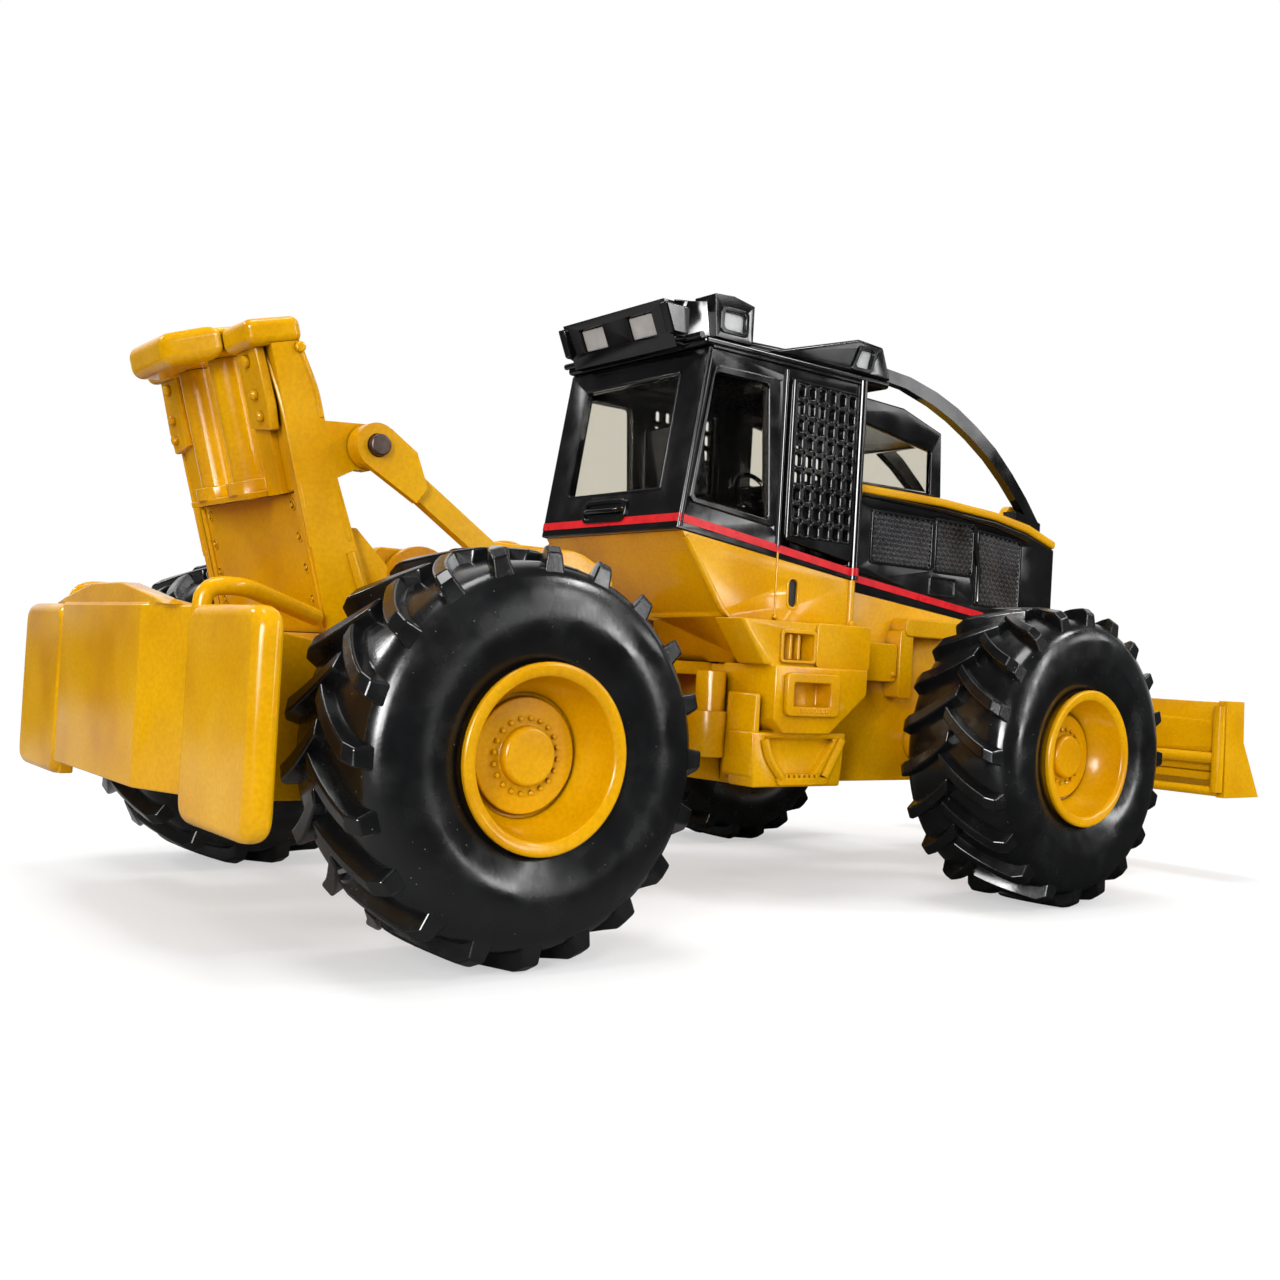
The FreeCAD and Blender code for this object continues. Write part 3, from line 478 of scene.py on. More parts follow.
@dataclass(frozen=True)
class LampLens(Finish):
    """Milky styrene lamp inserts with a pressed ripple.

    They give the eye a pale grey that glows a little from inside.
    """

    name: str = "milky_lamp_inserts"
    slot: str = "lamp_plastic"
    shades: Shades = ((0.3, "#A9AAAB"), (0.6, "#B9BABA"), (0.8, "#C9CACA"))
    drift: Grain = Grain(2.5, 3.0)
    skin_mm: float = 0.03
    skin_strength: float = 0.3
    # The real ribs are finer: drawn half a millimetre apart, to show.
    rib_mm: float = 0.5
    optics: dict = field(default_factory=lambda: {
        "IOR": 1.49, "Roughness": 0.22, "Subsurface Weight": 0.15,
        "Subsurface Radius": (0.001, 0.001, 0.001), "Subsurface Scale": 0.5})

    def height(self, tree: Tree) -> Socket:
        """Press level ribs into the lens.

        Args:
            tree: node tree that gets the pattern.

        Returns:
            The ribs' height.
        """
        place = add_node(tree, "ShaderNodeTexCoord")
        ribs = add_node(tree, "ShaderNodeTexWave",
                        {"Scale": 1 / (self.rib_mm * MM) / TURN, "bands_direction": "Z",
                         "Distortion": 0.4}, {"Vector": place.outputs["Object"]})
        return ribs.outputs["Fac"]


@dataclass(frozen=True)
class TurnedSteel(Finish):
    """Darkened turned steel pins.

    They give the eye a dull brown-grey metal, mottled where its oil film dried.
    """

    name: str = "darkened_steel_pins"
    slot: str = "steel_pins"
    shades: Shades = ((0.3, "#46393A"), (0.55, "#5A4B45"), (0.8, "#75645C"))
    drift: Grain = Grain(0.7, 4.0)
    roughness: float = 0.42
    gloss_span: tuple[float, float] = (-0.08, 0.10)
    handling: Grain = Grain(0.5, 3.0)
    # Real lathe marks are finer: drawn a quarter of a millimetre wide, to show.
    skin: Grain = Grain(0.25, 3.0)
    skin_strength: float = 0.4
    optics: dict = field(default_factory=lambda: {"Metallic": 0.85})


@dataclass(frozen=True)
class StripeInk(Finish):
    """Pad-printed red ink over the black moulding.

    It gives the eye a strong satin red, slightly uneven where the ink is thin.
    """

    name: str = "printed_red_ink"
    slot: str = "black_plastic"
    shades: Shades = ((0.30, "#BC0814"), (0.55, "#D20C18"), (0.8, "#DC1622"))
    drift: Grain = Grain(1.8, 4.0)
    roughness: float = 0.30
    gloss_span: tuple[float, float] = (-0.04, 0.08)
    handling: Grain = Grain(1.5, 3.0)
    skin: Grain = Grain(0.4, 2.0)
    skin_mm: float = 0.008
    skin_strength: float = 0.4
    optics: dict = field(default_factory=lambda: {"IOR": 1.48, "Specular IOR Level": 0.25})


class Coat:
    """A finish made into a material, with the record slot that it stands for."""

    def __init__(self, finish: Finish) -> None:
        """Make the finish's material."""
        self.material = finish.make()
        self.slot = finish.slot


@dataclass
class Finishes:
    """One coat for each of the toy's finishes; two of them carry painted shade and painted
    sheen.
    """

    enamel: Coat = field(default_factory=lambda: Coat(Enamel()))
    black: Coat = field(default_factory=lambda: Coat(MouldedAbs()))
    # Painted sheen: the grille's black drifts to grey, standing for light caught on its wires.
    mesh_black: Coat = field(default_factory=lambda: Coat(MouldedAbs(
        "black_abs_mesh_painted_sheen", shades=((0.35, "#4C4C4F"), (0.75, "#121213")), roughness=0.2,
        dust=0.3)))
    # Painted shade: a dull near-black for sheets laid where only shade falls.
    cavity: Coat = field(default_factory=lambda: Coat(MouldedAbs(
        "painted_shade_black", shades=((0.35, "#050505"), (0.75, "#121213")), roughness=0.5,
        dust=0.05)))
    rubber: Coat = field(default_factory=lambda: Coat(TyreRubber()))
    clear: Coat = field(default_factory=lambda: Coat(ClearStyrene()))
    lamp: Coat = field(default_factory=lambda: Coat(LampLens()))
    steel: Coat = field(default_factory=lambda: Coat(TurnedSteel()))
    red: Coat = field(default_factory=lambda: Coat(StripeInk()))

    def for_slot(self, slot: str) -> Coat:
        """Give the first coat that stands for a record slot."""
        coats = (getattr(self, entry.name) for entry in fields(self))
        return next(coat for coat in coats if coat.slot == slot)


# ------------------------------------------------------------------ modelling steps
def body_of_node(node: str) -> str:
    """Name the body that a CAD node belongs to."""
    bodies = frame["record"]["behaviour"]["bodies"]
    return next(body for body, nodes in bodies.items() if node in nodes)


def slot_of_node(node: str) -> str:
    """Name the record slot of a CAD node."""
    return next(s["material_slot"] for s in frame["record"]["subparts"] if s["node"] == node)


def only(piece: Piece) -> Piece:
    """Leave object mode with this piece alone selected and active.

    Args:
        piece: object to select.

    Returns:
        The same object.
    """
    if bpy.context.object and bpy.context.object.mode != "OBJECT":
        bpy.ops.object.mode_set(mode="OBJECT")
    bpy.ops.object.select_all(action="DESELECT")
    piece.select_set(True)
    bpy.context.view_layer.objects.active = piece
    return piece


def edit(piece: Piece, *steps: Callable[[], object]) -> Piece:
    """Run edit-mode steps on a piece, all of it selected at first.

    Args:
        piece: object to shape.
        steps: operators to call, in order.

    Returns:
        The same object, in object mode.
    """
    only(piece)
    bpy.ops.object.mode_set(mode="EDIT")
    bpy.ops.mesh.select_all(action="SELECT")
    for step in steps:
        step()
    bpy.ops.object.mode_set(mode="OBJECT")
    return piece


def bevelled(piece: Piece, width_mm: float, segments: int = 2, angle: float = 32.0) -> Piece:
    """Round the sharp edges of a piece with an applied bevel.

    Args:
        piece: object to round.
        width_mm: width of the rounding.
        segments: faces across it.
        angle: sharpest edge, in degrees, that stays as it is.

    Returns:
        The same object, smooth but for its flat faces.
    """
    only(piece)
    bpy.ops.object.shade_smooth_by_angle(angle=SHADE_ANGLE)
    modifier = piece.modifiers.new("soft_edges", "BEVEL")
    modifier.width = width_mm * MM
    modifier.segments = segments
    modifier.limit_method = "ANGLE"
    modifier.angle_limit = math.radians(angle)
    modifier.miter_outer = "MITER_ARC"
    modifier.harden_normals = True
    bpy.ops.object.modifier_apply(modifier=modifier.name)
    return piece


def outlined(name: str, corners: Sequence[Vector], fill: str = "NOTHING") -> Piece:
    """Add a circle and set its corners on an outline through space.

    Args:
        name: name of the piece.
        corners: places of the outline's corners, in order.
        fill: "NOTHING" for a bare loop, or "NGON" for a face.

    Returns:
        The piece, in edit mode with all of it selected.
    """
    bpy.ops.object.select_all(action="DESELECT")
    bpy.ops.mesh.primitive_circle_add(vertices=len(corners), radius=1.0, fill_type=fill)
    piece = bpy.context.object
    piece.name = piece.data.name = name
    for vertex, corner in zip(piece.data.vertices, corners):
        vertex.co = corner
    bpy.ops.object.mode_set(mode="EDIT")
    bpy.ops.mesh.select_all(action="SELECT")
    return piece


def extrude_to(piece: Piece, corners: Sequence[Vector], old: Sequence[Vector]) -> None:
    """Extrude the selected outline and move it on to a new section.

    Args:
        piece: object in edit mode.
        corners: places of the new section, in the order of `old`.
        old: places that the selected corners have now.
    """
    bpy.ops.mesh.extrude_region_move(TRANSFORM_OT_translate={"value": (0, 0, 0)})
    bpy.ops.object.mode_set(mode="OBJECT")
    for vertex in piece.data.vertices:
        if vertex.select:
            nearest = min(range(len(old)), key=lambda i: (old[i] - vertex.co).length_squared)
            vertex.co = corners[nearest]
    bpy.ops.object.mode_set(mode="EDIT")


def lofted(name: str, sections: Sequence[Sequence[Vector]], closed: bool = False) -> Piece:
    """Extrude an outline through a row of sections with equal corner counts.

    Args:
        name: name of the piece.
        sections: corners of each section, in order round it.
        closed: whether the last section runs on into the first, with no caps.

    Returns:
        A closed piece whose faces point outwards.
    """
    row = list(sections) + ([sections[0]] if closed else [])
    piece = outlined(name, row[0], "NOTHING" if closed else "NGON")
    for before, after in zip(row, row[1:]):
        extrude_to(piece, after, before)
    bpy.ops.mesh.select_all(action="SELECT")
    if closed:
        bpy.ops.mesh.remove_doubles(threshold=1e-6)
    bpy.ops.mesh.normals_make_consistent(inside=False)
    bpy.ops.object.mode_set(mode="OBJECT")
    return piece


def pad(name: str, place: Place, outline: Outline, low: float, high: float) -> Piece:
    """Extrude a flat outline, in millimetres on a plane, between two heights over it."""
    return lofted(name, [[place(u, v, level) for u, v in outline] for level in (low, high)])


def ring(name: str, place: Place, outer: Outline, inner: Outline, low: float,
         high: float) -> Piece:
    """Make a flat frame between two outlines with equal corner counts.

    Args:
        name: name of the piece.
        place: plane that it lies on.
        outer: outline of its outside.
        inner: outline of its hole.
        low: level of its back over the plane.
        high: level of its face.

    Returns:
        The frame.
    """
    sections = [[place(*a, low), place(*a, high), place(*b, high), place(*b, low)]
                for a, b in zip(outer, inner)]
    return lofted(name, sections, closed=True)


def rounded_corner(before: Vector, middle: Vector, after: Vector, reach: float,
                   steps: int) -> list[Vector]:
    """Round one corner of an outline or a path.

    Args:
        before: the corner before it.
        middle: the corner itself.
        after: the corner after it.
        reach: how far the rounding reaches along each side.
        steps: points of the rounding, less one.

    Returns:
        The points of the rounding.
    """
    back, on = before - middle, after - middle
    first = middle + back.normalized() * min(reach, back.length * 0.49)
    last = middle + on.normalized() * min(reach, on.length * 0.49)
    shares = [step / steps for step in range(steps + 1)]
    return [first * (1 - t) ** 2 + middle * 2 * t * (1 - t) + last * t * t for t in shares]


def rounded(outline: Outline, radius: float, steps: int = 4) -> Corners:
    """Round every corner of an outline.

    Args:
        outline: corners in order.
        radius: how far the rounding reaches along each side.
        steps: points round each corner, less one.

    Returns:
        The outline with `steps` + 1 points at each corner.
    """
    points = []
    for index, corner in enumerate(outline):
        before, after = outline[index - 1], outline[(index + 1) % len(outline)]
        points += rounded_corner(Vector(before), Vector(corner), Vector(after), radius, steps)
    return [(point.x, point.y) for point in points]


def box_outline(u0: float, v0: float, u1: float, v1: float) -> Corners:
    """List the corners of an upright rectangle."""
    return [(u0, v0), (u1, v0), (u1, v1), (u0, v1)]


def shrunk(outline: Outline, gap: float) -> Corners:
    """Draw a convex outline in.

    Args:
        outline: corners in order.
        gap: distance that each side moves inwards, or outwards where it is negative.

    Returns:
        The smaller outline.
    """
    points = []
    for index, corner in enumerate(outline):
        middle = Vector(corner)
        before = (Vector(outline[index - 1]) - middle).normalized()
        after = (Vector(outline[(index + 1) % len(outline)]) - middle).normalized()
        sine = max(abs(before.x * after.y - before.y * after.x), 0.2)
        point = middle + (before + after) * gap / sine
        points.append((point.x, point.y))
    return points


def bent(points: Sequence[Vector], radius_mm: float, steps: int = 4) -> list[Vector]:
    """Round the inner corners of a path through space.

    Args:
        points: corners of the path, in frame metres.
        radius_mm: how far each rounding reaches along the path.
        steps: points of each rounding, less one.

    Returns:
        The points of the bent path.
    """
    path = [points[0]]
    for before, middle, after in zip(points, points[1:], points[2:]):
        path += rounded_corner(before, middle, after, radius_mm * MM, steps)
    return path + [points[-1]]


def tube(name: str, path: Sequence[Vector], radius_mm: float, sides: int = 10) -> Piece:
    """Sweep a round section along a path.

    Args:
        name: name of the piece.
        path: points along its middle, in frame metres.
        radius_mm: radius of the section.
        sides: corners round it.

    Returns:
        The swept piece, smooth and with its ends closed.
    """
    sections = []
    across = Vector((0, 0, 1))
    for index, point in enumerate(path):
        ahead = (path[min(index + 1, len(path) - 1)] - path[max(index - 1, 0)]).normalized()
        if index == 0 and abs(ahead.dot(across)) > 0.9:
            across = Vector((0, 1, 0))
        across = (across - ahead * across.dot(ahead)).normalized()
        third = ahead.cross(across)
        sections.append([point + radius_mm * MM * (across * math.cos(a) + third * math.sin(a))
                         for a in (TURN * (k + 0.5) / sides for k in range(sides))])
    piece = lofted(name, sections)
    only(piece)
    bpy.ops.object.shade_smooth_by_angle(angle=TUBE_SHADE_ANGLE)
    return piece


def rod(name: str, ends: Sequence[Point], radius_mm: float, sides: int = 8) -> Piece:
    """Sweep a straight or jointed bar through places on the machine, in millimetres."""
    return tube(name, [at(*end) for end in ends], radius_mm, sides)


def disc(name: str, centre: Vector, axis: Vector, radius_mm: float, height_mm: float,
         sides: int, dome: float) -> Piece:
    """Add a round head standing on a surface, its top inset into a low dome.

    Args:
        name: name of the piece.
        centre: middle of its foot, in frame metres.
        axis: direction it stands in.
        radius_mm: radius of the foot.
        height_mm: height over the surface.
        sides: corners round it.
        dome: share of the height that the inset top rises by.

    Returns:
        The head, with its place in its mesh.
    """
    up = axis.normalized() * height_mm * MM
    bpy.ops.object.select_all(action="DESELECT")
    bpy.ops.mesh.primitive_cylinder_add(
        vertices=sides, radius=radius_mm * MM, depth=height_mm * MM,
        location=centre + up / 2, rotation=axis.to_track_quat("Z", "Y").to_euler())
    piece = bpy.context.object
    piece.name = piece.data.name = name
    edit(piece, lambda: bpy.ops.mesh.select_all(action="DESELECT"))
    for face in piece.data.polygons:
        face.select = face.normal.z > 0.9
    bpy.ops.object.mode_set(mode="EDIT")
    bpy.ops.mesh.inset(thickness=radius_mm * MM * 0.45)
    bpy.ops.transform.translate(value=up * dome)
    only(piece)
    bpy.ops.object.transform_apply(location=True, rotation=True, scale=True)
    return piece


def stud(name: str, place: Place, u: float, v: float, low: float, radius_mm: float,
         height_mm: float, sides: int = 16) -> Piece:
    """Set a domed round head on a plane.

    Args:
        name: name of the piece.
        place: plane that it stands on.
        u: its first place on the plane.
        v: its second place on the plane.
        low: level of its foot over the plane.
        radius_mm: radius of the foot.
        height_mm: height over the foot.
        sides: corners round it.

    Returns:
        The head.
    """
    foot = place(u, v, low)
    piece = disc(name, foot, place(u, v, low + 1) - foot, radius_mm, height_mm, sides, 0.35)
    return bevelled(piece, min(radius_mm, height_mm) * 0.45, 2)


def joined(name: str, parts: Sequence[Piece]) -> Piece:
    """Join pieces into one mesh.

    Args:
        name: name of the joined piece.
        parts: pieces, which are used up.

    Returns:
        The joined piece.
    """
    only(parts[0])
    for part in parts[1:]:
        part.select_set(True)
    if len(parts) > 1:
        bpy.ops.object.join()
    piece = bpy.context.object
    piece.name = piece.data.name = name
    return piece


def copied(piece: Piece, name: str, move: Matrix) -> Piece:
    """Copy a piece with its own mesh.

    Args:
        piece: object to copy.
        name: name of the copy.
        move: where the copy goes; one that mirrors leaves the faces outwards.

    Returns:
        The copy.
    """
    twin = bpy.data.objects.new(name, piece.data.copy())
    bpy.context.scene.collection.objects.link(twin)
    twin.data.name = name
    twin.data.transform(move)
    if move.determinant() < 0:
        twin.data.flip_normals()
    return twin


def mirrored(piece: Piece, name: str) -> Piece:
    """Copy a right-hand piece to the left of the machine."""
    return copied(piece, name, MIRROR)


def both(name: str, piece: Piece) -> Piece:
    """Join a right-hand piece with its mirror image on the left."""
    return joined(name, [piece, mirrored(piece, name + "_left")])


def finished(piece: Piece, coat: Coat, body: str, replaces: Sequence[str] = ()) -> Piece:
    """Dress a piece and tell the frame what it rides on and stands for.

    Args:
        piece: finished form.
        coat: what it is coated with.
        body: body that it rides on.
        replaces: CAD nodes that it stands for.

    Returns:
        The dressed piece.
    """
    piece.data.materials.clear()
    piece.data.materials.append(coat.material)
    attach(piece, body)
    if replaces:
        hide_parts(*replaces)
    log.info("%s: %d faces on %s", piece.name, len(piece.data.polygons), body)
    return piece


def cad_copy(node: str, name: str, windowed: bool = False) -> Piece:
    """Copy a CAD node's mesh and merge its loose triangles.

    Args:
        node: CAD node to copy.
        name: name of the copy.
        windowed: whether flat faces hold windows, and so stay in triangles.

    Returns:
        The copy.
    """
    piece = bpy.data.objects.new(name, frame["nodes"][node].data.copy())
    bpy.context.scene.collection.objects.link(piece)
    piece.data.name = name
    edit(piece, lambda: bpy.ops.mesh.remove_doubles(threshold=SAME_PLACE))
    if not windowed:
        edit(piece, lambda: bpy.ops.mesh.dissolve_limited(angle_limit=FLAT_ANGLE))
    return piece


def round_long_edges(piece: Piece, width_mm: float, shortest_mm: float) -> None:
    """Round the long sharp edges of a piece more than its small features.

    Args:
        piece: object whose mesh is shaped.
        width_mm: width of the rounding.
        shortest_mm: shortest edge that gets it.
    """
    edit(piece, lambda: bpy.ops.mesh.select_all(action="DESELECT"),
         lambda: bpy.ops.mesh.select_mode(type="EDGE"),
         lambda: bpy.ops.mesh.edges_select_sharp(sharpness=SHARP_ANGLE))
    mesh = piece.data
    for edge in mesh.edges:
        start, end = (mesh.vertices[i].co for i in edge.vertices)
        if (end - start).length < shortest_mm * MM:
            edge.select = False
    only(piece)
    bpy.ops.object.mode_set(mode="EDIT")
    bpy.ops.mesh.bevel(offset=width_mm * MM, segments=3, affect="EDGES", clamp_overlap=True)
    bpy.ops.mesh.select_mode(type="VERT")
    bpy.ops.object.mode_set(mode="OBJECT")


@dataclass
class Assembly:
    """A sub-assembly whose pieces ride on one body of the machine."""

    finishes: Finishes
    body: str = "front_chassis"

    def yellow(self, piece: Piece, *nodes: str) -> Piece:
        """Enamel a piece that stands for the given CAD nodes."""
        return finished(piece, self.finishes.enamel, self.body, nodes)

    def black(self, piece: Piece, *nodes: str) -> Piece:
        """Leave a piece that stands for the given CAD nodes in glossy black plastic."""
        return finished(piece, self.finishes.black, self.body, nodes)


# ------------------------------------------------------------------ wheels
@dataclass
class Wheel:
    """A lugged tyre on a deep dished rim, modelled once at the rear right.

    Both outlines run from place to place across the wheel. A lug starts at the
    shoulder, ends just past the middle, and sweeps round the tyre as it goes.
    """

    finishes: Finishes
    wheelbase: float = 70.4
    track_half: float = 26.2
    axle_z: float = 16.3941
    tyre_faces: int = 96
    rim_faces: int = 80
    tread_above: float = 12.0
    smooth_angle: float = 50.0
    lug_count: int = 20
    lug_stations: int = 7
    lug_reach: tuple[float, float] = (6.22, 6.75)
    lug_sweep: tuple[float, float] = (8.0, 7.5)
    lug_top: float = 0.68
    lug_foot: float = 0.98
    lug_root: float = 0.35
    shoulder_drop: float = 0.62
    shoulder_lean: float = 0.14
    tip_r: float = 16.34
    nub_count: int = 20
    nub_out: float = 3.5
    nub_r: float = 2.95
    # Each corner of the tyre: distance from its middle plane, and radius.
    carcass: Outline = ((0.0, 15.25), (2.6, 15.2), (4.3, 15.08), (5.4, 14.85), (6.08, 14.42),
                        (6.48, 13.75), (6.76, 12.6), (6.88, 11.3), (6.84, 10.2), (6.62, 9.2),
                        (6.3, 8.35), (6.08, 7.75), (5.95, 7.45), (5.6, 6.98))
    # Each corner of the rim: radius, and outward distance.
    rim: Outline = ((0.0, 4.35), (2.15, 4.35), (2.35, 4.15), (2.35, 3.5), (4.55, 3.5),
                    (4.62, 2.95), (4.9, 2.95), (4.98, 3.35), (5.55, 4.0), (6.1, 5.3),
                    (6.3, 6.65), (6.65, 6.9), (7.28, 6.9), (7.4, 6.75), (7.4, 6.3),
                    (6.92, 6.1), (6.92, -6.1), (7.4, -6.3), (7.4, -6.9), (6.4, -6.9),
                    (6.1, -0.4), (3.2, 0.2), (3.2, -2.5), (1.6, -2.5), (1.6, 2.5), (0.0, 2.5))

    def centre(self) -> Vector:
        """Give the middle of the rear right wheel."""
        return at(0, -self.track_half, self.axle_z)

    def about_axle(self, turn: float) -> Matrix:
        """Give the move that turns a piece round the rear right axle, in radians."""
        centre = self.centre()
        return (Matrix.Translation(centre) @ Matrix.Rotation(turn, 4, "Y")
                @ Matrix.Translation(-centre))

    def spun(self, name: str, outline: Outline, steps: int) -> Piece:
        """Spin a closed outline round the axle.

        Args:
            name: name of the piece.
            outline: corners, radius first, outward distance second.
            steps: faces round the wheel.

        Returns:
            The turned piece, its faces outwards.
        """
        centre = self.centre()
        piece = outlined(name, [centre + Vector((0, -outward * MM, radius * MM))
                                for radius, outward in outline])
        return edit(piece,
                    lambda: bpy.ops.mesh.spin(steps=steps, angle=TURN, center=centre,
                                              axis=(0, 1, 0)),
                    lambda: bpy.ops.mesh.select_all(action="SELECT"),
                    lambda: bpy.ops.mesh.remove_doubles(threshold=SAME_PLACE),
                    lambda: bpy.ops.mesh.delete_loose(use_verts=True, use_edges=True,
                                                      use_faces=False),
                    lambda: bpy.ops.mesh.select_all(action="SELECT"),
                    lambda: bpy.ops.mesh.normals_make_consistent(inside=False))

    def carcass_radius(self, across: float) -> float:
        """Find the carcass radius under a lug.

        Args:
            across: distance from the tyre's middle plane, on either side.

        Returns:
            The radius there, or the tread's last one beyond its edge.
        """
        tread = [corner for corner in self.carcass if corner[1] > self.tread_above]
        for (y0, r0), (y1, r1) in zip(tread, tread[1:]):
            if y0 <= abs(across) <= y1:
                return r0 + (r1 - r0) * (abs(across) - y0) / (y1 - y0)
        return tread[-1][1]

    def build_lug(self) -> Piece:
        """Loft one lug at the top of the wheel.

        Returns:
            The lug, its edges rounded.
        """
        centre = self.centre()
        start, length = self.lug_reach
        first, second = self.lug_sweep
        sections = []
        for index in range(self.lug_stations):
            t = index / (self.lug_stations - 1)
            out = start - length * t
            turn = math.radians(first * t + second * t * t)
            foot = self.carcass_radius(out) - self.lug_root
            drop, lean = (self.shoulder_drop, self.shoulder_lean) if index == 0 else (0.0, 0.0)
            top = self.tip_r - drop
            corners = []
            for along, radius, push in ((-self.lug_foot, foot, 0.0), (self.lug_foot, foot, 0.0),
                                        (self.lug_top, top, lean), (-self.lug_top, top, lean)):
                angle = turn + along / radius
                corners.append(centre + MM * Vector((
                    radius * math.sin(angle), push - out, radius * math.cos(angle))))
            sections.append(corners)
        return bevelled(lofted("tyre_lug", sections), 0.2, 2, 28.0)

    def build_tyre(self) -> Piece:
        """Model the tyre: a spun carcass and two rings of swept lugs.

        Returns:
            The rear right tyre.
        """
        half = [(r, y) for y, r in self.carcass]
        carcass = self.spun("tyre_carcass", half + [(r, -y) for r, y in half[::-1] if y > 0],
                            self.tyre_faces)
        bpy.ops.object.shade_smooth_by_angle(angle=math.radians(self.smooth_angle))
        lug = self.build_lug()
        centre = self.centre()
        other_half = Matrix.Translation(centre) @ MIRROR @ Matrix.Translation(-centre)
        parts = [carcass]
        for offset, side in ((0.0, Matrix.Identity(4)), (0.5, other_half)):
            for index in range(self.lug_count):
                turn = TURN / self.lug_count * (index + offset)
                parts.append(copied(lug, "lug", self.about_axle(turn) @ side))
        bpy.data.objects.remove(lug)
        return joined("tyre_rear_right_lugged", parts)

    def build_rim(self) -> Piece:
        """Model the rim with its ring of small bolt heads.

        Returns:
            The rear right rim.
        """
        rim = bevelled(self.spun("rim_turned", self.rim, self.rim_faces), 0.16, 2, 40.0)
        foot = self.centre() + Vector((0, -self.nub_out * MM, self.nub_r * MM))
        nub = disc("nub", foot, Vector((0, -1, 0)), 0.21, 0.22, 8, 0.5)
        nubs = [copied(nub, "nub", self.about_axle(TURN * (k + 0.3) / self.nub_count))
                for k in range(self.nub_count)]
        bpy.data.objects.remove(nub)
        return joined("rim_rear_right_dished", [rim] + nubs)

    def build(self) -> list[Piece]:
        """Model one wheel and copy it to the other three places.

        Returns:
            The four tyres and the four rims.
        """
        ahead = Matrix.Translation(Vector((self.wheelbase * MM, 0, 0)))
        pieces = []
        for kind, coat, first in (("tyre", self.finishes.rubber, self.build_tyre()),
                                  ("rim", self.finishes.enamel, self.build_rim())):
            for row, side, move in (("rear", "right", None), ("rear", "left", MIRROR),
                                    ("front", "right", ahead),
                                    ("front", "left", ahead @ MIRROR)):
                node = "%s_%s_%s" % (kind, row, side)
                piece = first if move is None else copied(first, node + "_copy", move)
                pieces.append(finished(piece, coat, "wheel_%s_%s" % (row, side), [node]))
        return pieces


# ------------------------------------------------------------------ stage
@dataclass(frozen=True)
class SoftLamp:
    """A soft rectangular lamp that looks at the toy, in metres and watts."""

    name: str
    place: Point
    width: float
    height: float
    power: float
    glints_only: bool = False
    target: Point = (0.0, 0.0, 0.03)

    def hang(self) -> None:
        """Hang the lamp; one for glints shows in glossy surfaces alone."""
        data = bpy.data.lights.new(self.name, "AREA")
        data.shape = "RECTANGLE"
        data.energy, data.size, data.size_y = self.power, self.width, self.height
        lamp = bpy.data.objects.new(self.name, data)
        if self.glints_only:
            lamp.visible_diffuse = lamp.visible_camera = lamp.visible_transmission = False
        bpy.context.scene.collection.objects.link(lamp)
        towards = Vector(self.target) - Vector(self.place)
        lamp.matrix_world = (Matrix.Translation(Vector(self.place))
                             @ towards.to_track_quat("-Z", "Y").to_matrix().to_4x4())


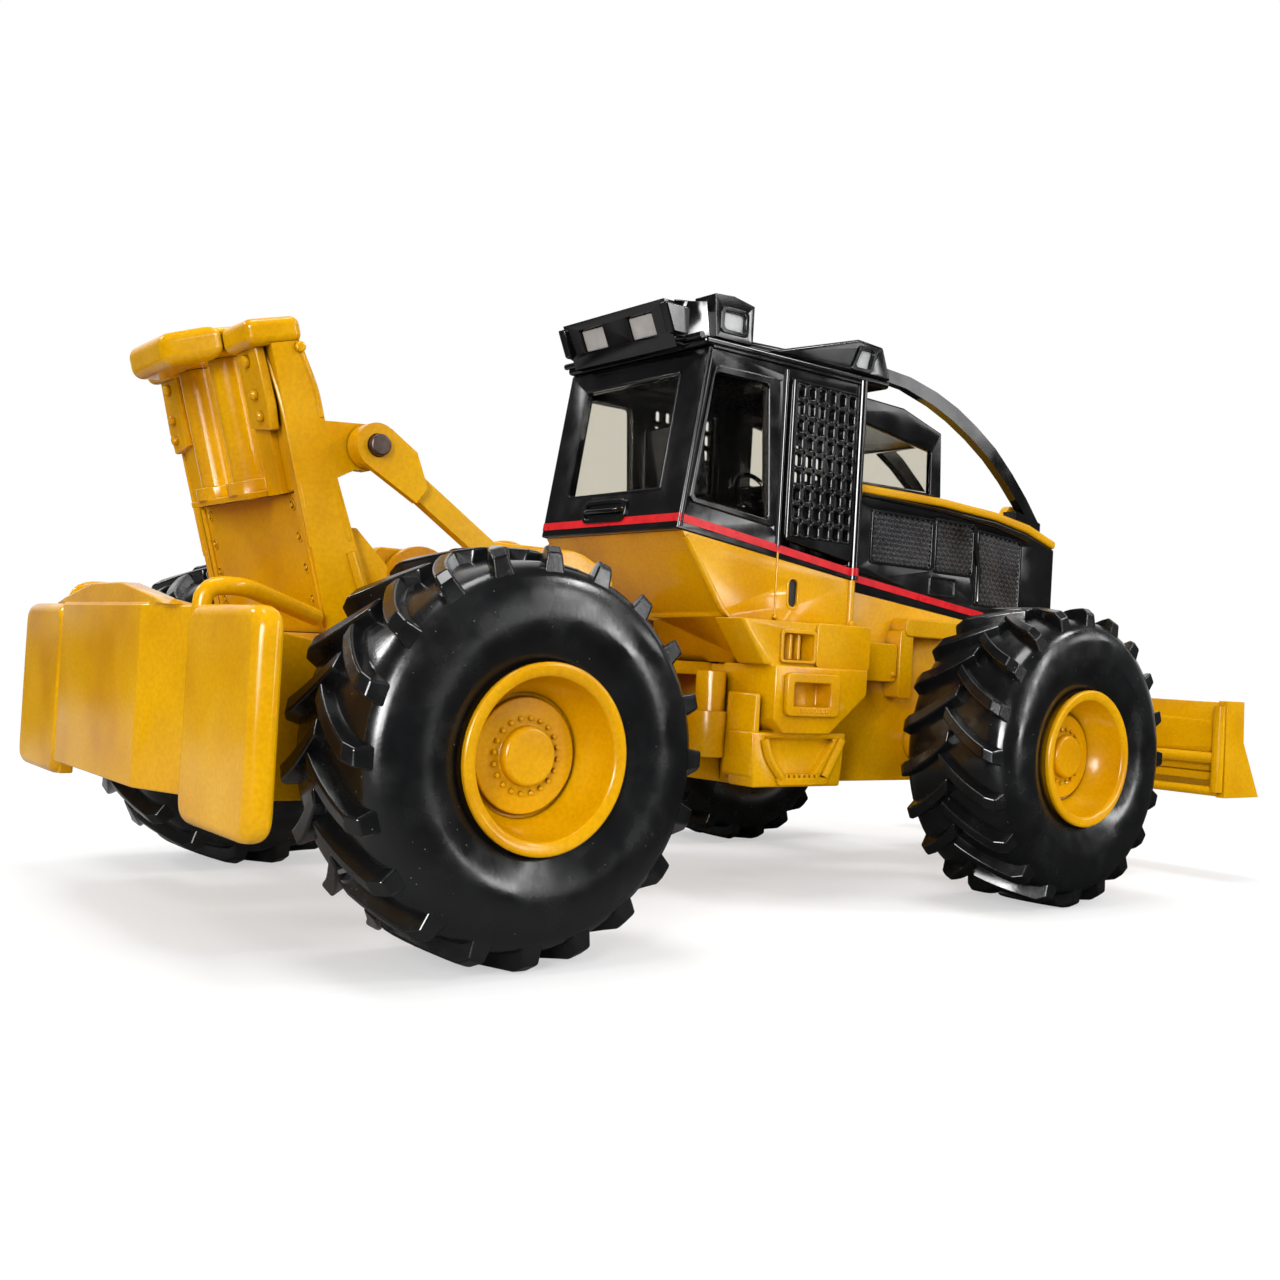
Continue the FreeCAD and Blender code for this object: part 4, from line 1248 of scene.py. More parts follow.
@dataclass
class Stage:
    """Camera, soft lamps, pale floor and white backdrop, in metres and degrees."""

    camera_place: Point = (-0.10282, -0.11631, 0.02427)
    azimuth: float = 37.906
    elevation: float = -0.876
    roll: float = 3.247
    lens: float = 37.44
    floor_size: float = 6.0
    floor_grain: Grain = Grain(40.0, 2.0)
    floor_shades: Shades = ((0.3, "#F2F2F2"), (0.7, "#F6F6F6"))
    # The paper turns white, and the card and the sheet turn dark, over these distances.
    fade_span: tuple[float, float] = (0.07, 0.20)
    sheet_reach: float = 0.5
    sheet_shades: Shades = ((0.26, "#B0B0B0"), (0.48, "#242424"))
    card_middle: Point = (-0.13, 0.05, 0.0)
    card_shades: Shades = ((0.09, "#A4A4A4"), (0.17, "#2C2C2C"))
    sky: float = 0.70
    dim_studio: float = 0.09
    backdrop_heading: Point = (0.60, 0.77, 0.22)
    backdrop_span: tuple[float, float] = (0.55, 0.82)
    lamps: tuple[SoftLamp, ...] = (
        SoftLamp("top_softbox", (-0.08, 0.02, 0.60), 0.24, 0.24, 1.7),
        SoftLamp("front_right_high", (0.40, -0.36, 0.42), 0.10, 0.10, 1.0),
        SoftLamp("front_right_strip", (0.34, -0.50, 0.16), 0.06, 0.30, 0.85),
        SoftLamp("rear_left_high", (-0.36, 0.48, 0.40), 0.10, 0.10, 0.9),
        SoftLamp("key_strip", (-0.46, -0.38, 0.17), 0.07, 0.32, 2.0),
        SoftLamp("window_glints", (-0.48, -0.46, 0.16), 0.34, 0.20, 6.0, True),
        SoftLamp("nose_glints", (0.200, -0.137, 0.103), 0.075, 0.024, 0.026, True))

    def build_camera(self) -> None:
        """Set the camera low behind the right rear wheel."""
        az, el, roll = (math.radians(v) for v in (self.azimuth, self.elevation, self.roll))
        look = Vector((math.sin(az) * math.cos(el), math.cos(az) * math.cos(el), -math.sin(el)))
        level = Vector((math.cos(az), -math.sin(az), 0))
        above = level.cross(look)
        right = math.cos(roll) * level + math.sin(roll) * above
        up = -math.sin(roll) * level + math.cos(roll) * above
        data = bpy.data.cameras.new("camera")
        data.lens, data.sensor_width = self.lens, 36.0
        data.clip_start, data.clip_end = 0.001, 20.0
        camera = bpy.data.objects.new("camera", data)
        bpy.context.scene.collection.objects.link(camera)
        turn = Matrix((right, up, -look)).transposed().to_4x4()
        camera.matrix_world = Matrix.Translation(Vector(self.camera_place)) @ turn
        bpy.context.scene.camera = camera

    def by_ray(self, tree: Tree, lit: Socket, seen: Socket) -> Socket:
        """Light the scene with one shader, and show another to the camera.

        Args:
            tree: node tree that gets the choice.
            lit: shader for light and mirrored rays.
            seen: shader for what the camera sees, bare or through a pane.

        Returns:
            The shader of the two.
        """
        path = add_node(tree, "ShaderNodeLightPath")
        either = add_node(tree, "ShaderNodeMath", {"operation": "MAXIMUM"},
                          {"#0": path.outputs["Is Camera Ray"],
                           "#1": path.outputs["Is Transmission Ray"]})
        mix = add_node(tree, "ShaderNodeMixShader", None,
                       {"#0": either.outputs[0], "#1": lit, "#2": seen})
        return mix.outputs[0]

    def floor_seen(self, tree: Tree, distance: Socket) -> Socket:
        """Make the paper that the camera sees, white from a little way off.

        Args:
            tree: node tree of the floor.
            distance: distance from the toy's middle.

        Returns:
            The shader.
        """
        grain = add_node(tree, "ShaderNodeValToRGB", {"stops": self.floor_shades},
                         {"Fac": self.floor_grain.lay(tree)})
        paper = add_node(tree, "ShaderNodeBsdfDiffuse", None, {"Color": grain.outputs["Color"]})
        white = add_node(tree, "ShaderNodeEmission", {"Color": WHITE, "Strength": 1.0})
        near, far = self.fade_span
        fade = add_node(tree, "ShaderNodeMapRange",
                        {"From Min": near, "From Max": far, "To Min": 0.5, "To Max": 1.0},
                        {"Value": distance})
        mix = add_node(tree, "ShaderNodeMixShader", None,
                       {"#0": fade.outputs["Result"], "#1": paper.outputs[0],
                        "#2": white.outputs[0]})
        return mix.outputs[0]

    def floor_lit(self, tree: Tree, here: Socket, distance: Socket) -> Socket:
        """Make the floor that light bounces off: a grey sheet, and a card in mirrors.

        Args:
            tree: node tree of the floor.
            here: place on the floor.
            distance: distance from the toy's middle.

        Returns:
            The shader.
        """
        share = add_node(tree, "ShaderNodeMapRange",
                         {"From Min": 0.0, "From Max": self.sheet_reach}, {"Value": distance})
        sheet = add_node(tree, "ShaderNodeValToRGB", {"stops": self.sheet_shades},
                         {"Fac": share.outputs["Result"]})
        reach = add_node(tree, "ShaderNodeVectorMath",
                         {"operation": "DISTANCE", "#1": self.card_middle}, {"#0": here})
        card = add_node(tree, "ShaderNodeValToRGB", {"stops": self.card_shades},
                        {"Fac": reach.outputs["Value"]})
        path = add_node(tree, "ShaderNodeLightPath")
        tone = add_node(tree, "ShaderNodeMix", {"data_type": "RGBA"},
                        {"#0": path.outputs["Is Glossy Ray"], "#6": sheet.outputs["Color"],
                         "#7": card.outputs["Color"]})
        dull = add_node(tree, "ShaderNodeBsdfDiffuse", None, {"Color": tone.outputs[2]})
        return dull.outputs[0]

    def build_floor(self) -> None:
        """Lay a wide pale floor whose far part turns to the backdrop's white."""
        bpy.ops.object.select_all(action="DESELECT")
        bpy.ops.mesh.primitive_plane_add(size=self.floor_size, location=(0, 0, 0))
        floor = bpy.context.object
        floor.name = floor.data.name = "floor"
        edit(floor, lambda: bpy.ops.mesh.subdivide(number_cuts=3))
        material, tree, output = new_material("pale_studio_floor")
        here = add_node(tree, "ShaderNodeTexCoord").outputs["Object"]
        distance = add_node(tree, "ShaderNodeVectorMath", {"operation": "LENGTH"},
                            {"#0": here}).outputs["Value"]
        surface = self.by_ray(tree, self.floor_lit(tree, here, distance),
                              self.floor_seen(tree, distance))
        tree.links.new(surface, output.inputs[0])
        floor.data.materials.append(material)

    def build_world(self) -> None:
        """Set a plain world: white where it is seen, softer as light, dim in mirrors."""
        world = bpy.data.worlds.new("studio")
        bpy.context.scene.world = world
        world.use_nodes = True
        tree = world.node_tree
        tree.nodes.clear()
        output = tree.nodes.new("ShaderNodeOutputWorld")
        light = add_node(tree, "ShaderNodeBackground", {"Color": WHITE, "Strength": self.sky})
        seen = add_node(tree, "ShaderNodeBackground", {"Color": WHITE, "Strength": 1.0})
        heading = add_node(tree, "ShaderNodeTexCoord")
        towards = add_node(tree, "ShaderNodeVectorMath",
                           {"operation": "DOT_PRODUCT", "#1": self.backdrop_heading},
                           {"#0": heading.outputs["Generated"]})
        edge, inside = self.backdrop_span
        paper = add_node(tree, "ShaderNodeMapRange",
                         {"From Min": edge, "From Max": inside, "To Min": self.dim_studio,
                          "To Max": 1.0}, {"Value": towards.outputs["Value"]})
        room = add_node(tree, "ShaderNodeBackground", {"Color": WHITE},
                        {"Strength": paper.outputs["Result"]})
        path = add_node(tree, "ShaderNodeLightPath")
        lit = add_node(tree, "ShaderNodeMixShader", None,
                       {"#0": path.outputs["Is Glossy Ray"], "#1": light.outputs[0],
                        "#2": room.outputs[0]})
        tree.links.new(self.by_ray(tree, lit.outputs[0], seen.outputs[0]), output.inputs[0])

    def build(self) -> None:
        """Build the whole stage."""
        self.build_camera()
        self.build_floor()
        self.build_world()
        for lamp in self.lamps:
            lamp.hang()


# ------------------------------------------------------------------ machine
@dataclass
class CastParts:
    """The solids that keep their own form and get soft cast edges.

    Each table holds CAD nodes with the width of their edge rounding.
    """

    finishes: Finishes
    radii: dict[str, float] = field(default_factory=lambda: {
        "arch_brace_left": 0.3, "arch_brace_right": 0.3, "arch_plate": 0.15,
        "blade_arms": 0.3, "cab_glass": 0.1, "cab_interior": 0.5,
        "fairlead_rollers": 0.25, "frame_pins": 0.2, "front_arm_pins": 0.15, "front_axle": 0.2,
        "front_light_pods": 0.35, "hood_top": 0.4,
        "lamp_lenses": 0.4, "limb_riser_left": 0.62, "limb_riser_right": 0.62, "rear_axle": 0.2,
        "rear_frame": 0.5, "rear_light_bar": 0.4, "roof": 0.45, "winch_drum": 0.15})
    windowed: dict[str, float] = field(default_factory=lambda: {
        "blade": 0.4, "cab_shell": 0.4, "hood_body": 0.35, "windscreen_frame": 0.25})
    long_edged: dict[str, float] = field(default_factory=lambda: {
        "step_box_left": 0.75, "step_box_right": 0.75, "cab_lower": 0.9,
        "front_frame": 0.6, "winch_frame": 0.6})
    long_edge: float = 2.5
    fine_edge: float = 0.18
    hinge_x: float = 34.0
    hinge_reach: float = 2.0
    hinge_share: float = 0.93

    def soft_cast(self, node: str, radius: float, windowed: bool = False,
                  long_edged: bool = False) -> Piece:
        """Give a CAD node the soft edges of a casting or moulding, its form kept.

        Args:
            node: CAD node that the piece stands for.
            radius: width of the edge rounding.
            windowed: whether flat faces hold windows, and so stay in triangles.
            long_edged: whether long edges alone get that rounding, the rest a fine one.

        Returns:
            The dressed copy, which replaces the node.
        """
        piece = cad_copy(node, node + "_soft", windowed)
        if long_edged:
            round_long_edges(piece, radius, self.long_edge)
        bevelled(piece, self.fine_edge if long_edged else radius, 3)
        coat = self.finishes.for_slot(slot_of_node(node))
        return finished(piece, coat, body_of_node(node), [node])

    def free_hinge_pin(self, pins: Piece) -> None:
        """Turn the steering pin down a little, so that it clears the fork's facets.

        Args:
            pins: the frame's pins, one of them at the steering hinge.
        """
        middle = at(self.hinge_x, 0, 0)
        edit(pins, lambda: bpy.ops.mesh.select_all(action="DESELECT"))
        for vertex in pins.data.vertices:
            vertex.select = (vertex.co - middle).xy.length < self.hinge_reach * MM
        only(pins)
        bpy.ops.object.mode_set(mode="EDIT")
        bpy.ops.transform.resize(value=(self.hinge_share, self.hinge_share, 1.0),
                                 center_override=middle)
        bpy.ops.object.mode_set(mode="OBJECT")

    def build(self) -> list[Piece]:
        """Dress every listed solid.

        Returns:
            The dressed copies.
        """
        pieces = [self.soft_cast(node, radius) for node, radius in self.radii.items()]
        self.free_hinge_pin(next(p for p in pieces if p.name.startswith("frame_pins")))
        pieces += [self.soft_cast(node, radius, long_edged=True)
                   for node, radius in self.long_edged.items()]
        return pieces + [self.soft_cast(node, radius, windowed=True)
                         for node, radius in self.windowed.items()]


@dataclass
class ButtPlate(Assembly):
    """The rear plate with its thick rounded wings, and the two bent rails."""

    body: str = "rear_chassis"
    wing_face_x: float = -21.9
    wing_box: tuple[float, float, float, float] = (-30.72, 10.28, -17.0, 26.62)
    wing_corner: float = 2.1
    wing_edge: float = 0.9
    rail_radius: float = 0.72
    rail_bend: float = 1.6
    rail_path: tuple[Point, ...] = ((-21.4, -17.0, 25.4), (-21.4, -17.0, 28.0),
                                    (-18.4, -17.0, 28.3), (-10.2, -12.6, 26.3))

    def build_plate(self) -> Piece:
        """Copy the plate, and lay a thick rounded slab over each wing.

        Returns:
            The plate.
        """
        plate = bevelled(cad_copy("butt_plate", "plate"), 0.45, 3, 28.0)
        outline = rounded(box_outline(*self.wing_box), self.wing_corner, 6)
        wing = bevelled(pad("wing", on_rear(self.wing_face_x), outline, -1.6, 0.65),
                        self.wing_edge, 5)
        return self.yellow(joined("butt_plate_rolled", [plate, both("wings", wing)]),
                           "butt_plate")

    def build_rails(self) -> Piece:
        """Bend a round bar from each wing's top over to the arch's foot.

        Returns:
            The two rails.
        """
        path = bent([at(*corner) for corner in self.rail_path], self.rail_bend, 5)
        rail = tube("rail", path, self.rail_radius, 14)
        return self.yellow(both("butt_rails_bent", rail), "butt_rails")

    def build(self) -> list[Piece]:
        """Build the plate and its rails."""
        return [self.build_plate(), self.build_rails()]


@dataclass
class Arch(Assembly):
    """The arch's posts, puffy guard, bolts, ringed rivets and edge strips."""

    body: str = "rear_chassis"
    bolt_rows: tuple[tuple[float, float, float], ...] = (
        (9.6, 22.0, 0.52), (10.0, 19.2, 0.45), (10.3, 17.4, 0.45))
    strip: Outline = ((-7.9, 23.1), (-8.2, 16.5), (-11.5, 16.1), (-11.9, 18.2), (-11.5, 23.1))
    web: Outline = ((-9.2, 23.05), (-10.9, 23.05), (-12.42, 18.9), (-12.42, 10.95),
                    (-9.2, 10.95))
    # Ribs, each with its path (forward, up, across), radius and bend.
    ribs: tuple[tuple[str, tuple[Point, ...], float, float], ...] = (
        ("channel_web", ((-0.35, 22.8, 10.75), (-0.35, 18.8, 12.25), (-0.3, 6.2, 12.3)),
         0.24, 2.2),
        ("plate_flange", ((-0.05, 10.6, 10.9), (-0.05, -0.6, 10.9)), 0.3, 0.0),
        ("plate_flange_outer", ((-0.3, 11.0, 11.9), (-0.3, -0.6, 11.9)), 0.22, 0.0),
        ("front_edge", ((1.9, 22.9, 12.35), (2.7, 19.0, 12.35), (2.72, 16.6, 12.35)), 0.3, 1.0),
        ("toe_rib", ((3.0, 5.2, 12.45), (3.35, 1.2, 12.45)), 0.45, 0.0),
        ("front_edge_lower", ((2.75, 10.4, 12.35), (3.1, 6.2, 12.35)), 0.3, 0.0))
    rivet_ups: tuple[float, ...] = (9.9, 7.2, 4.5, 1.8)
    rivet_y: float = 9.6
    rivet_step: float = 0.16
    rivet_rim: tuple[float, float] = (0.52, 0.36)
    cap_box: tuple[float, float, float, float] = (-12.75, 22.85, -6.95, 25.05)
    cap_edge: float = 0.75
    cap_middle: tuple[float, float] = (23.95, -0.1)
    cap_waist: float = 0.4
    cap_foot: float = -1.05
    cap_front: tuple[float, float] = (-1.6, 2.1)
    tuck: float = 0.45
    guard: Outline = ((-7.9, 2.3), (7.9, 2.3), (4.4, 6.4), (-4.4, 6.4))

    def build_post(self, side: Side) -> Piece:
        """Round a post, and put a thick soft-edged cap over its crisp one.

        Args:
            side: which of the two posts.

        Returns:
            The post.
        """
        node = "arch_post_" + side.word
        post = cad_copy(node, "post")
        self.tuck_cap(post)
        bevelled(post, 0.25, 3)
        cap = bevelled(pad("cap", on_arch_rear, box_outline(*self.cap_box), -2.45, 2.35),
                       self.cap_edge, 5)
        if side is Side.LEFT:
            right = cap
            cap = mirrored(right, "cap_left")
            bpy.data.objects.remove(right)
        return self.yellow(joined(node + "_capped", [post, cap]), node)

    def tuck_cap(self, post: Piece) -> None:
        """Draw the copied post's own cap in, under the rounded one.

        Args:
            post: copy of a post, which is changed.
        """
        middle = on_arch_rear(0, *self.cap_middle)
        rear_face, front_face = self.cap_front
        rise = Vector((-math.sin(ARCH_LEAN), 0, math.cos(ARCH_LEAN)))
        ahead = Vector((math.cos(ARCH_LEAN), 0, math.sin(ARCH_LEAN)))
        for vertex in post.data.vertices:
            offset = vertex.co - middle
            up, forward = offset.dot(rise) / MM, offset.dot(ahead) / MM
            inwards = ahead * math.copysign(self.tuck, forward) * MM
            if up > self.cap_waist:
                vertex.co -= rise * 0.5 * MM + inwards
                vertex.co.y -= math.copysign(self.tuck * MM, vertex.co.y)
            elif up > self.cap_foot and not rear_face <= forward <= front_face:
                vertex.co += rise * 0.3 * MM - inwards

    def build_guard(self) -> Piece:
        """Build the puffy guard that overhangs the rollers.

        Returns:
            The guard.
        """
        def above(y: float, out: float, up: float) -> Vector:
            """Give a place over the arch: across, outwards and along the lean."""
            return on_arch_rear(y, up, out)

        lip = bevelled(pad("lip", above, self.guard, 22.7, 25.5), self.cap_edge * 1.2, 5)
        root = bevelled(pad("root", above, box_outline(-6.95, -0.2, 6.95, 2.9), 23.0, 25.3),
                        0.5, 3)
        return self.yellow(joined("arch_guard_rounded", [lip, root]), "arch_guard")

    def build_bolts(self) -> Piece:
        """Set the bolt heads on the strips and at the caps' lower corners.

        Returns:
            The bolts of both sides.
        """
        parts = [stud("bolt", on_arch_rear, -y, up, 1.42, radius, 0.42)
                 for y, up, radius in self.bolt_rows]
        parts.append(stud("cap_bolt", on_side(12.5), -13.05, 48.35, 0.0, 0.45, 0.4))
        parts.append(stud("winch_bolt", on_side(10.6), 19.6, 32.4, 0.0, 0.5, 0.35))
        return self.yellow(both("arch_bolts", joined("bolts", parts)))

    def build_rivets(self) -> Piece:
        """Ring each rivet down both edges of the plate.

        Returns:
            The rivets of both sides.
        """
        outer, inner = ([(size * c, size * s) for c, s in circle(16)] for size in self.rivet_rim)
        parts = []
        for index, up in enumerate(self.rivet_ups):
            y = self.rivet_y + self.rivet_step * index

            def spot(u: float, v: float, out: float, y0: float = y, up0: float = up) -> Vector:
                """Give a place round this rivet."""
                return on_arch_rear(-y0 + u, up0 + v, out)

            parts.append(bevelled(ring("rivet_rim", spot, outer, inner, -0.05, 0.12), 0.05, 2))
            parts.append(stud("rivet_head", spot, 0, 0, -0.05, 0.2, 0.2, 10))
        return self.yellow(both("arch_rivets", joined("rivets", parts)))

    def build_ribs(self) -> Piece:
        """Run the thin edge strips and ribs that catch the light down the posts.

        Returns:
            The ribs of both sides.
        """
        strip = bevelled(pad("strip", on_arch_rear, self.strip, 0.6, 1.48), 0.2, 3)
        filler = bevelled(pad("web", on_arch_rear, self.web, -1.0, 0.32), 0.22, 3)
        parts = [strip, filler]
        for name, corners, radius, bend in self.ribs:
            path = [on_arch_rear(-y, up, -forward) for forward, up, y in corners]
            parts.append(tube(name, bent(path, bend, 5 if bend > 2 else 4) if bend else path,
                              radius, 8))
        return self.yellow(both("arch_ribs", joined("ribs", parts)))

    def build(self) -> list[Piece]:
        """Build the posts, the guard and all the arch's small fittings."""
        return [self.build_post(Side.RIGHT), self.build_post(Side.LEFT), self.build_guard(),
                self.build_bolts(), self.build_rivets(), self.build_ribs()]


@dataclass
class Stripe(Assembly):
    """The printed red line round the cab and along the hood."""

    half: float = 0.42
    skin: float = 0.07
    rear: Outline = ((-12.2, 39.0), (12.2, 39.0))
    cab: Outline = ((28.35, 39.0), (54.4, 35.45))
    hood: Outline = ((54.8, 35.7), (95.8, 30.85))
    post: tuple[Point, Point] = ((54.0, -12.3, 35.15), (54.0, -12.3, 36.0))

    def band(self, name: str, place: Place, line: Outline) -> Piece:
        """Print one straight length of the line, a film thick.

        Args:
            name: name of the piece.
            place: plane that it is printed on.
            line: both ends of its middle.

        Returns:
            The length of line.
        """
        (u0, v0), (u1, v1) = line
        outline = [(u0, v0 - self.half), (u1, v1 - self.half), (u1, v1 + self.half),
                   (u0, v0 + self.half)]
        return pad(name, place, outline, -0.05, self.skin)

    def build(self) -> list[Piece]:
        """Print the line on the rear wall, both cab sides and both hood sides.

        Returns:
            The line, in a list of its own.
        """
        rear = self.band("stripe_rear", on_cab_rear, self.rear)
        cab = both("stripe_cab", self.band("stripe_side", on_side(12.3), self.cab))
        post = both("stripe_posts", rod("stripe_post", self.post, 0.64, 14))
        hood = both("stripe_hood", self.band("stripe_front", on_side(8.6), self.hood))
        piece = joined("stripe_printed", [rear, cab, post, hood])
        return [finished(piece, self.finishes.red, self.body)]


@dataclass
class Cab(Assembly):
    """Window surrounds, door screens, posts and seams of the cab."""

    half: float = 12.3
    columns: int = 6
    rows: int = 9
    screen: tuple[float, float, float, float] = (43.4, 38.5, 52.9, 55.3)
    screen_level: float = 0.42
    screen_thick: float = 0.75
    quarter: Outline = ((29.9, 41.2), (40.5, 40.0), (39.5, 54.4), (31.9, 54.4))
    pane: Outline = ((29.3, 40.7), (41.6, 39.2), (41.2, 55.2), (31.8, 55.2))
    door: Outline = ((42.6, 38.2), (53.1, 36.6), (53.1, 55.5), (42.6, 55.5))
    # Upright bars and the gutter: both ends, radius and corners round them.
    bars: tuple[tuple[str, Point, Point, float, int], ...] = (
        ("post", (54.0, -12.3, 34.7), (54.0, -12.3, 57.2), 0.58, 14),
        ("bead", (42.15, -12.35, 37.3), (42.15, -12.35, 56.4), 0.24, 8),
        ("bead", (42.95, -12.7, 38.4), (42.95, -12.7, 55.4), 0.2, 8),
        ("corner", (28.55, -12.05, 38.1), (31.45, -12.05, 56.6), 0.36, 10),
        ("gutter", (31.4, -12.35, 56.9), (54.2, -12.35, 56.9), 0.22, 8))
    arch_edge: tuple[Point, ...] = ((29.3, -12.2, 37.2), (30.4, -12.3, 35.7),
                                    (34.7, -12.3, 30.0), (35.9, -12.3, 29.2),
                                    (39.4, -12.3, 24.9))

    def build_surrounds(self) -> Piece:
        """Line the rear and quarter windows with rounded rubber surrounds.

        Returns:
            The surrounds.
        """
        rear_outer = rounded(box_outline(-8.45, 42.0, 8.45, 54.7), 0.3)
        rear_inner = rounded(box_outline(-8.15, 42.3, 8.15, 54.4), 0.5)
        rear = bevelled(ring("rear_surround", on_cab_rear, rear_outer, rear_inner, -0.7, 0.1),
                        0.09, 2)
        side_outer = rounded(self.pane, 0.9)
        side_inner = rounded(shrunk(self.quarter, 0.06), 0.5)
        side = bevelled(ring("quarter_surround", on_side(self.half), side_outer, side_inner,
                             -0.6, 0.22), 0.16, 3)
        return self.black(joined("window_surrounds", [rear, both("quarter_surrounds", side)]))

    def build_handle(self) -> Piece:
        """Sink a grip under the rear window: a rounded cup with a bar across it.

        Returns:
            The grip and its cup.
        """
        cup_outer = rounded(box_outline(-3.3, 38.95, 4.5, 41.5), 1.0)
        cup_inner = rounded(box_outline(-2.8, 39.45, 4.0, 41.0), 0.7)
        cup = bevelled(ring("cup", on_cab_rear, cup_outer, cup_inner, -0.1, 0.28), 0.12, 2)
        floor = pad("cup_floor", on_cab_rear, cup_inner, -0.1, 0.06)
        path = [on_cab_rear(y, 40.25, out)
                for y, out in ((-2.9, 0.0), (-2.5, 0.4), (3.7, 0.4), (4.1, 0.0))]
        grip = tube("grip", bent(path, 0.5, 3), 0.26, 8)
        return self.black(joined("rear_grip_cup", [cup, floor, grip]))

    def build_cell(self, wide: float, high: float) -> Piece:
        """Fill between a cell's edge and its rounded slot, flat in the screen's plane.

        Args:
            wide: width of the cell.
            high: its height.

        Returns:
            The lowest rear cell.
        """
        edge = rounded(box_outline(-wide / 2, -high / 2, wide / 2, high / 2), 0.25, 3)
        slot = rounded(box_outline(-0.28 * wide, -0.34 * high, 0.28 * wide, 0.34 * high),
                       0.33, 3)
        x0, z0, _, _ = self.screen
        outer, inner = ([on_side(self.half)(x0 + wide / 2 + u, z0 + high / 2 + v,
                                            self.screen_level) for u, v in outline]
                        for outline in (edge, slot))
        cell = outlined("cell", outer)
        extrude_to(cell, inner, outer)
        bpy.ops.object.mode_set(mode="OBJECT")
        return cell

    def build_screen(self) -> Piece:
        """Punch the right door's screen from one repeated cell, inside a flat frame.

        Returns:
            The screen, not yet dressed.
        """
        x0, z0, x1, z1 = self.screen
        wide, high = (x1 - x0) / self.columns, (z1 - z0) / self.rows
        cell = self.build_cell(wide, high)
        cells = [cell]
        for column in range(self.columns):
            for row in range(self.rows):
                if column or row:
                    move = Matrix.Translation(Vector((column * wide, 0, row * high)) * MM)
                    cells.append(copied(cell, "cell", move))
        sheet = joined("screen_sheet", cells)
        inwards = (0, self.screen_thick * MM, 0)
        edit(sheet, lambda: bpy.ops.mesh.remove_doubles(threshold=1e-5),
             lambda: bpy.ops.mesh.extrude_region_move(
                 TRANSFORM_OT_translate={"value": inwards}),
             lambda: bpy.ops.mesh.select_all(action="SELECT"),
             lambda: bpy.ops.mesh.normals_make_consistent(inside=False))
        bevelled(sheet, 0.24, 3, 50.0)
        surround = ring("screen_surround", on_side(self.half), rounded(self.door, 0.5),
                        rounded(box_outline(*self.screen), 0.12), -0.4, 0.5)
        return joined("screen", [sheet, bevelled(surround, 0.16, 3)])

    def build_screens(self) -> list[Piece]:
        """Hang a screen on each door.

        Returns:
            The right screen and the left one.
        """
        right = self.build_screen()
        left = mirrored(right, "door_screen_left_punched")
        right.name = right.data.name = "door_screen_right_punched"
        return [self.black(right, "door_screen_right"), self.black(left, "door_screen_left")]

    def build_posts(self) -> Piece:
        """Stand the round door post, the beads at the door's rear edge and the gutter."""
        parts = [rod(name, (foot, top), radius, sides)
                 for name, foot, top, radius, sides in self.bars]
        return self.black(both("cab_posts", joined("posts", parts)))

    def build_lower_door(self) -> list[Piece]:
        """Add the yellow door's seams, studs, slot and corner ridge.

        Returns:
            The yellow seams, and dark sheets of painted shade in the slots.
        """
        y, wall = -self.half, on_side(self.half)
        slot_outer = rounded(box_outline(43.85, 30.7, 45.75, 34.3), 0.95, 5)
        slot_inner = rounded(box_outline(44.15, 31.0, 45.45, 34.0), 0.65, 5)
        ridge = bent([at(*corner) for corner in self.arch_edge], 1.0, 4)
        parts = [rod("seam", ((42.2, y, 36.8), (42.2, y, 29.6)), 0.13),
                 rod("post_foot", ((53.85, y, 34.6), (53.85, y, 29.5)), 0.42, 10),
                 stud("seam_stud", wall, 42.2, 29.75, -0.1, 0.3, 0.35, 12),
                 stud("foot_stud", wall, 53.85, 29.7, 0.2, 0.4, 0.35, 12),
                 tube("wheel_arch_edge", ridge, 0.38, 8),
                 bevelled(ring("slot_rim", wall, slot_outer, slot_inner, -0.2, 0.1), 0.08, 2)]
        rims = self.yellow(both("lower_door_seams", joined("seams", parts)))
        # Painted shade: a dark sheet deep in each slot, where only shade falls.
        painted_slot_shade = both("slot_shade_sheets", pad("slot_shade_sheet", wall, slot_inner, -0.6, -0.25))
        return [rims, finished(painted_slot_shade, self.finishes.cavity, self.body)]

    def build(self) -> list[Piece]:
        """Build the cab's dressing."""
        return [self.build_surrounds(), self.build_handle(), *self.build_screens(),
                self.build_posts(), *self.build_lower_door()]


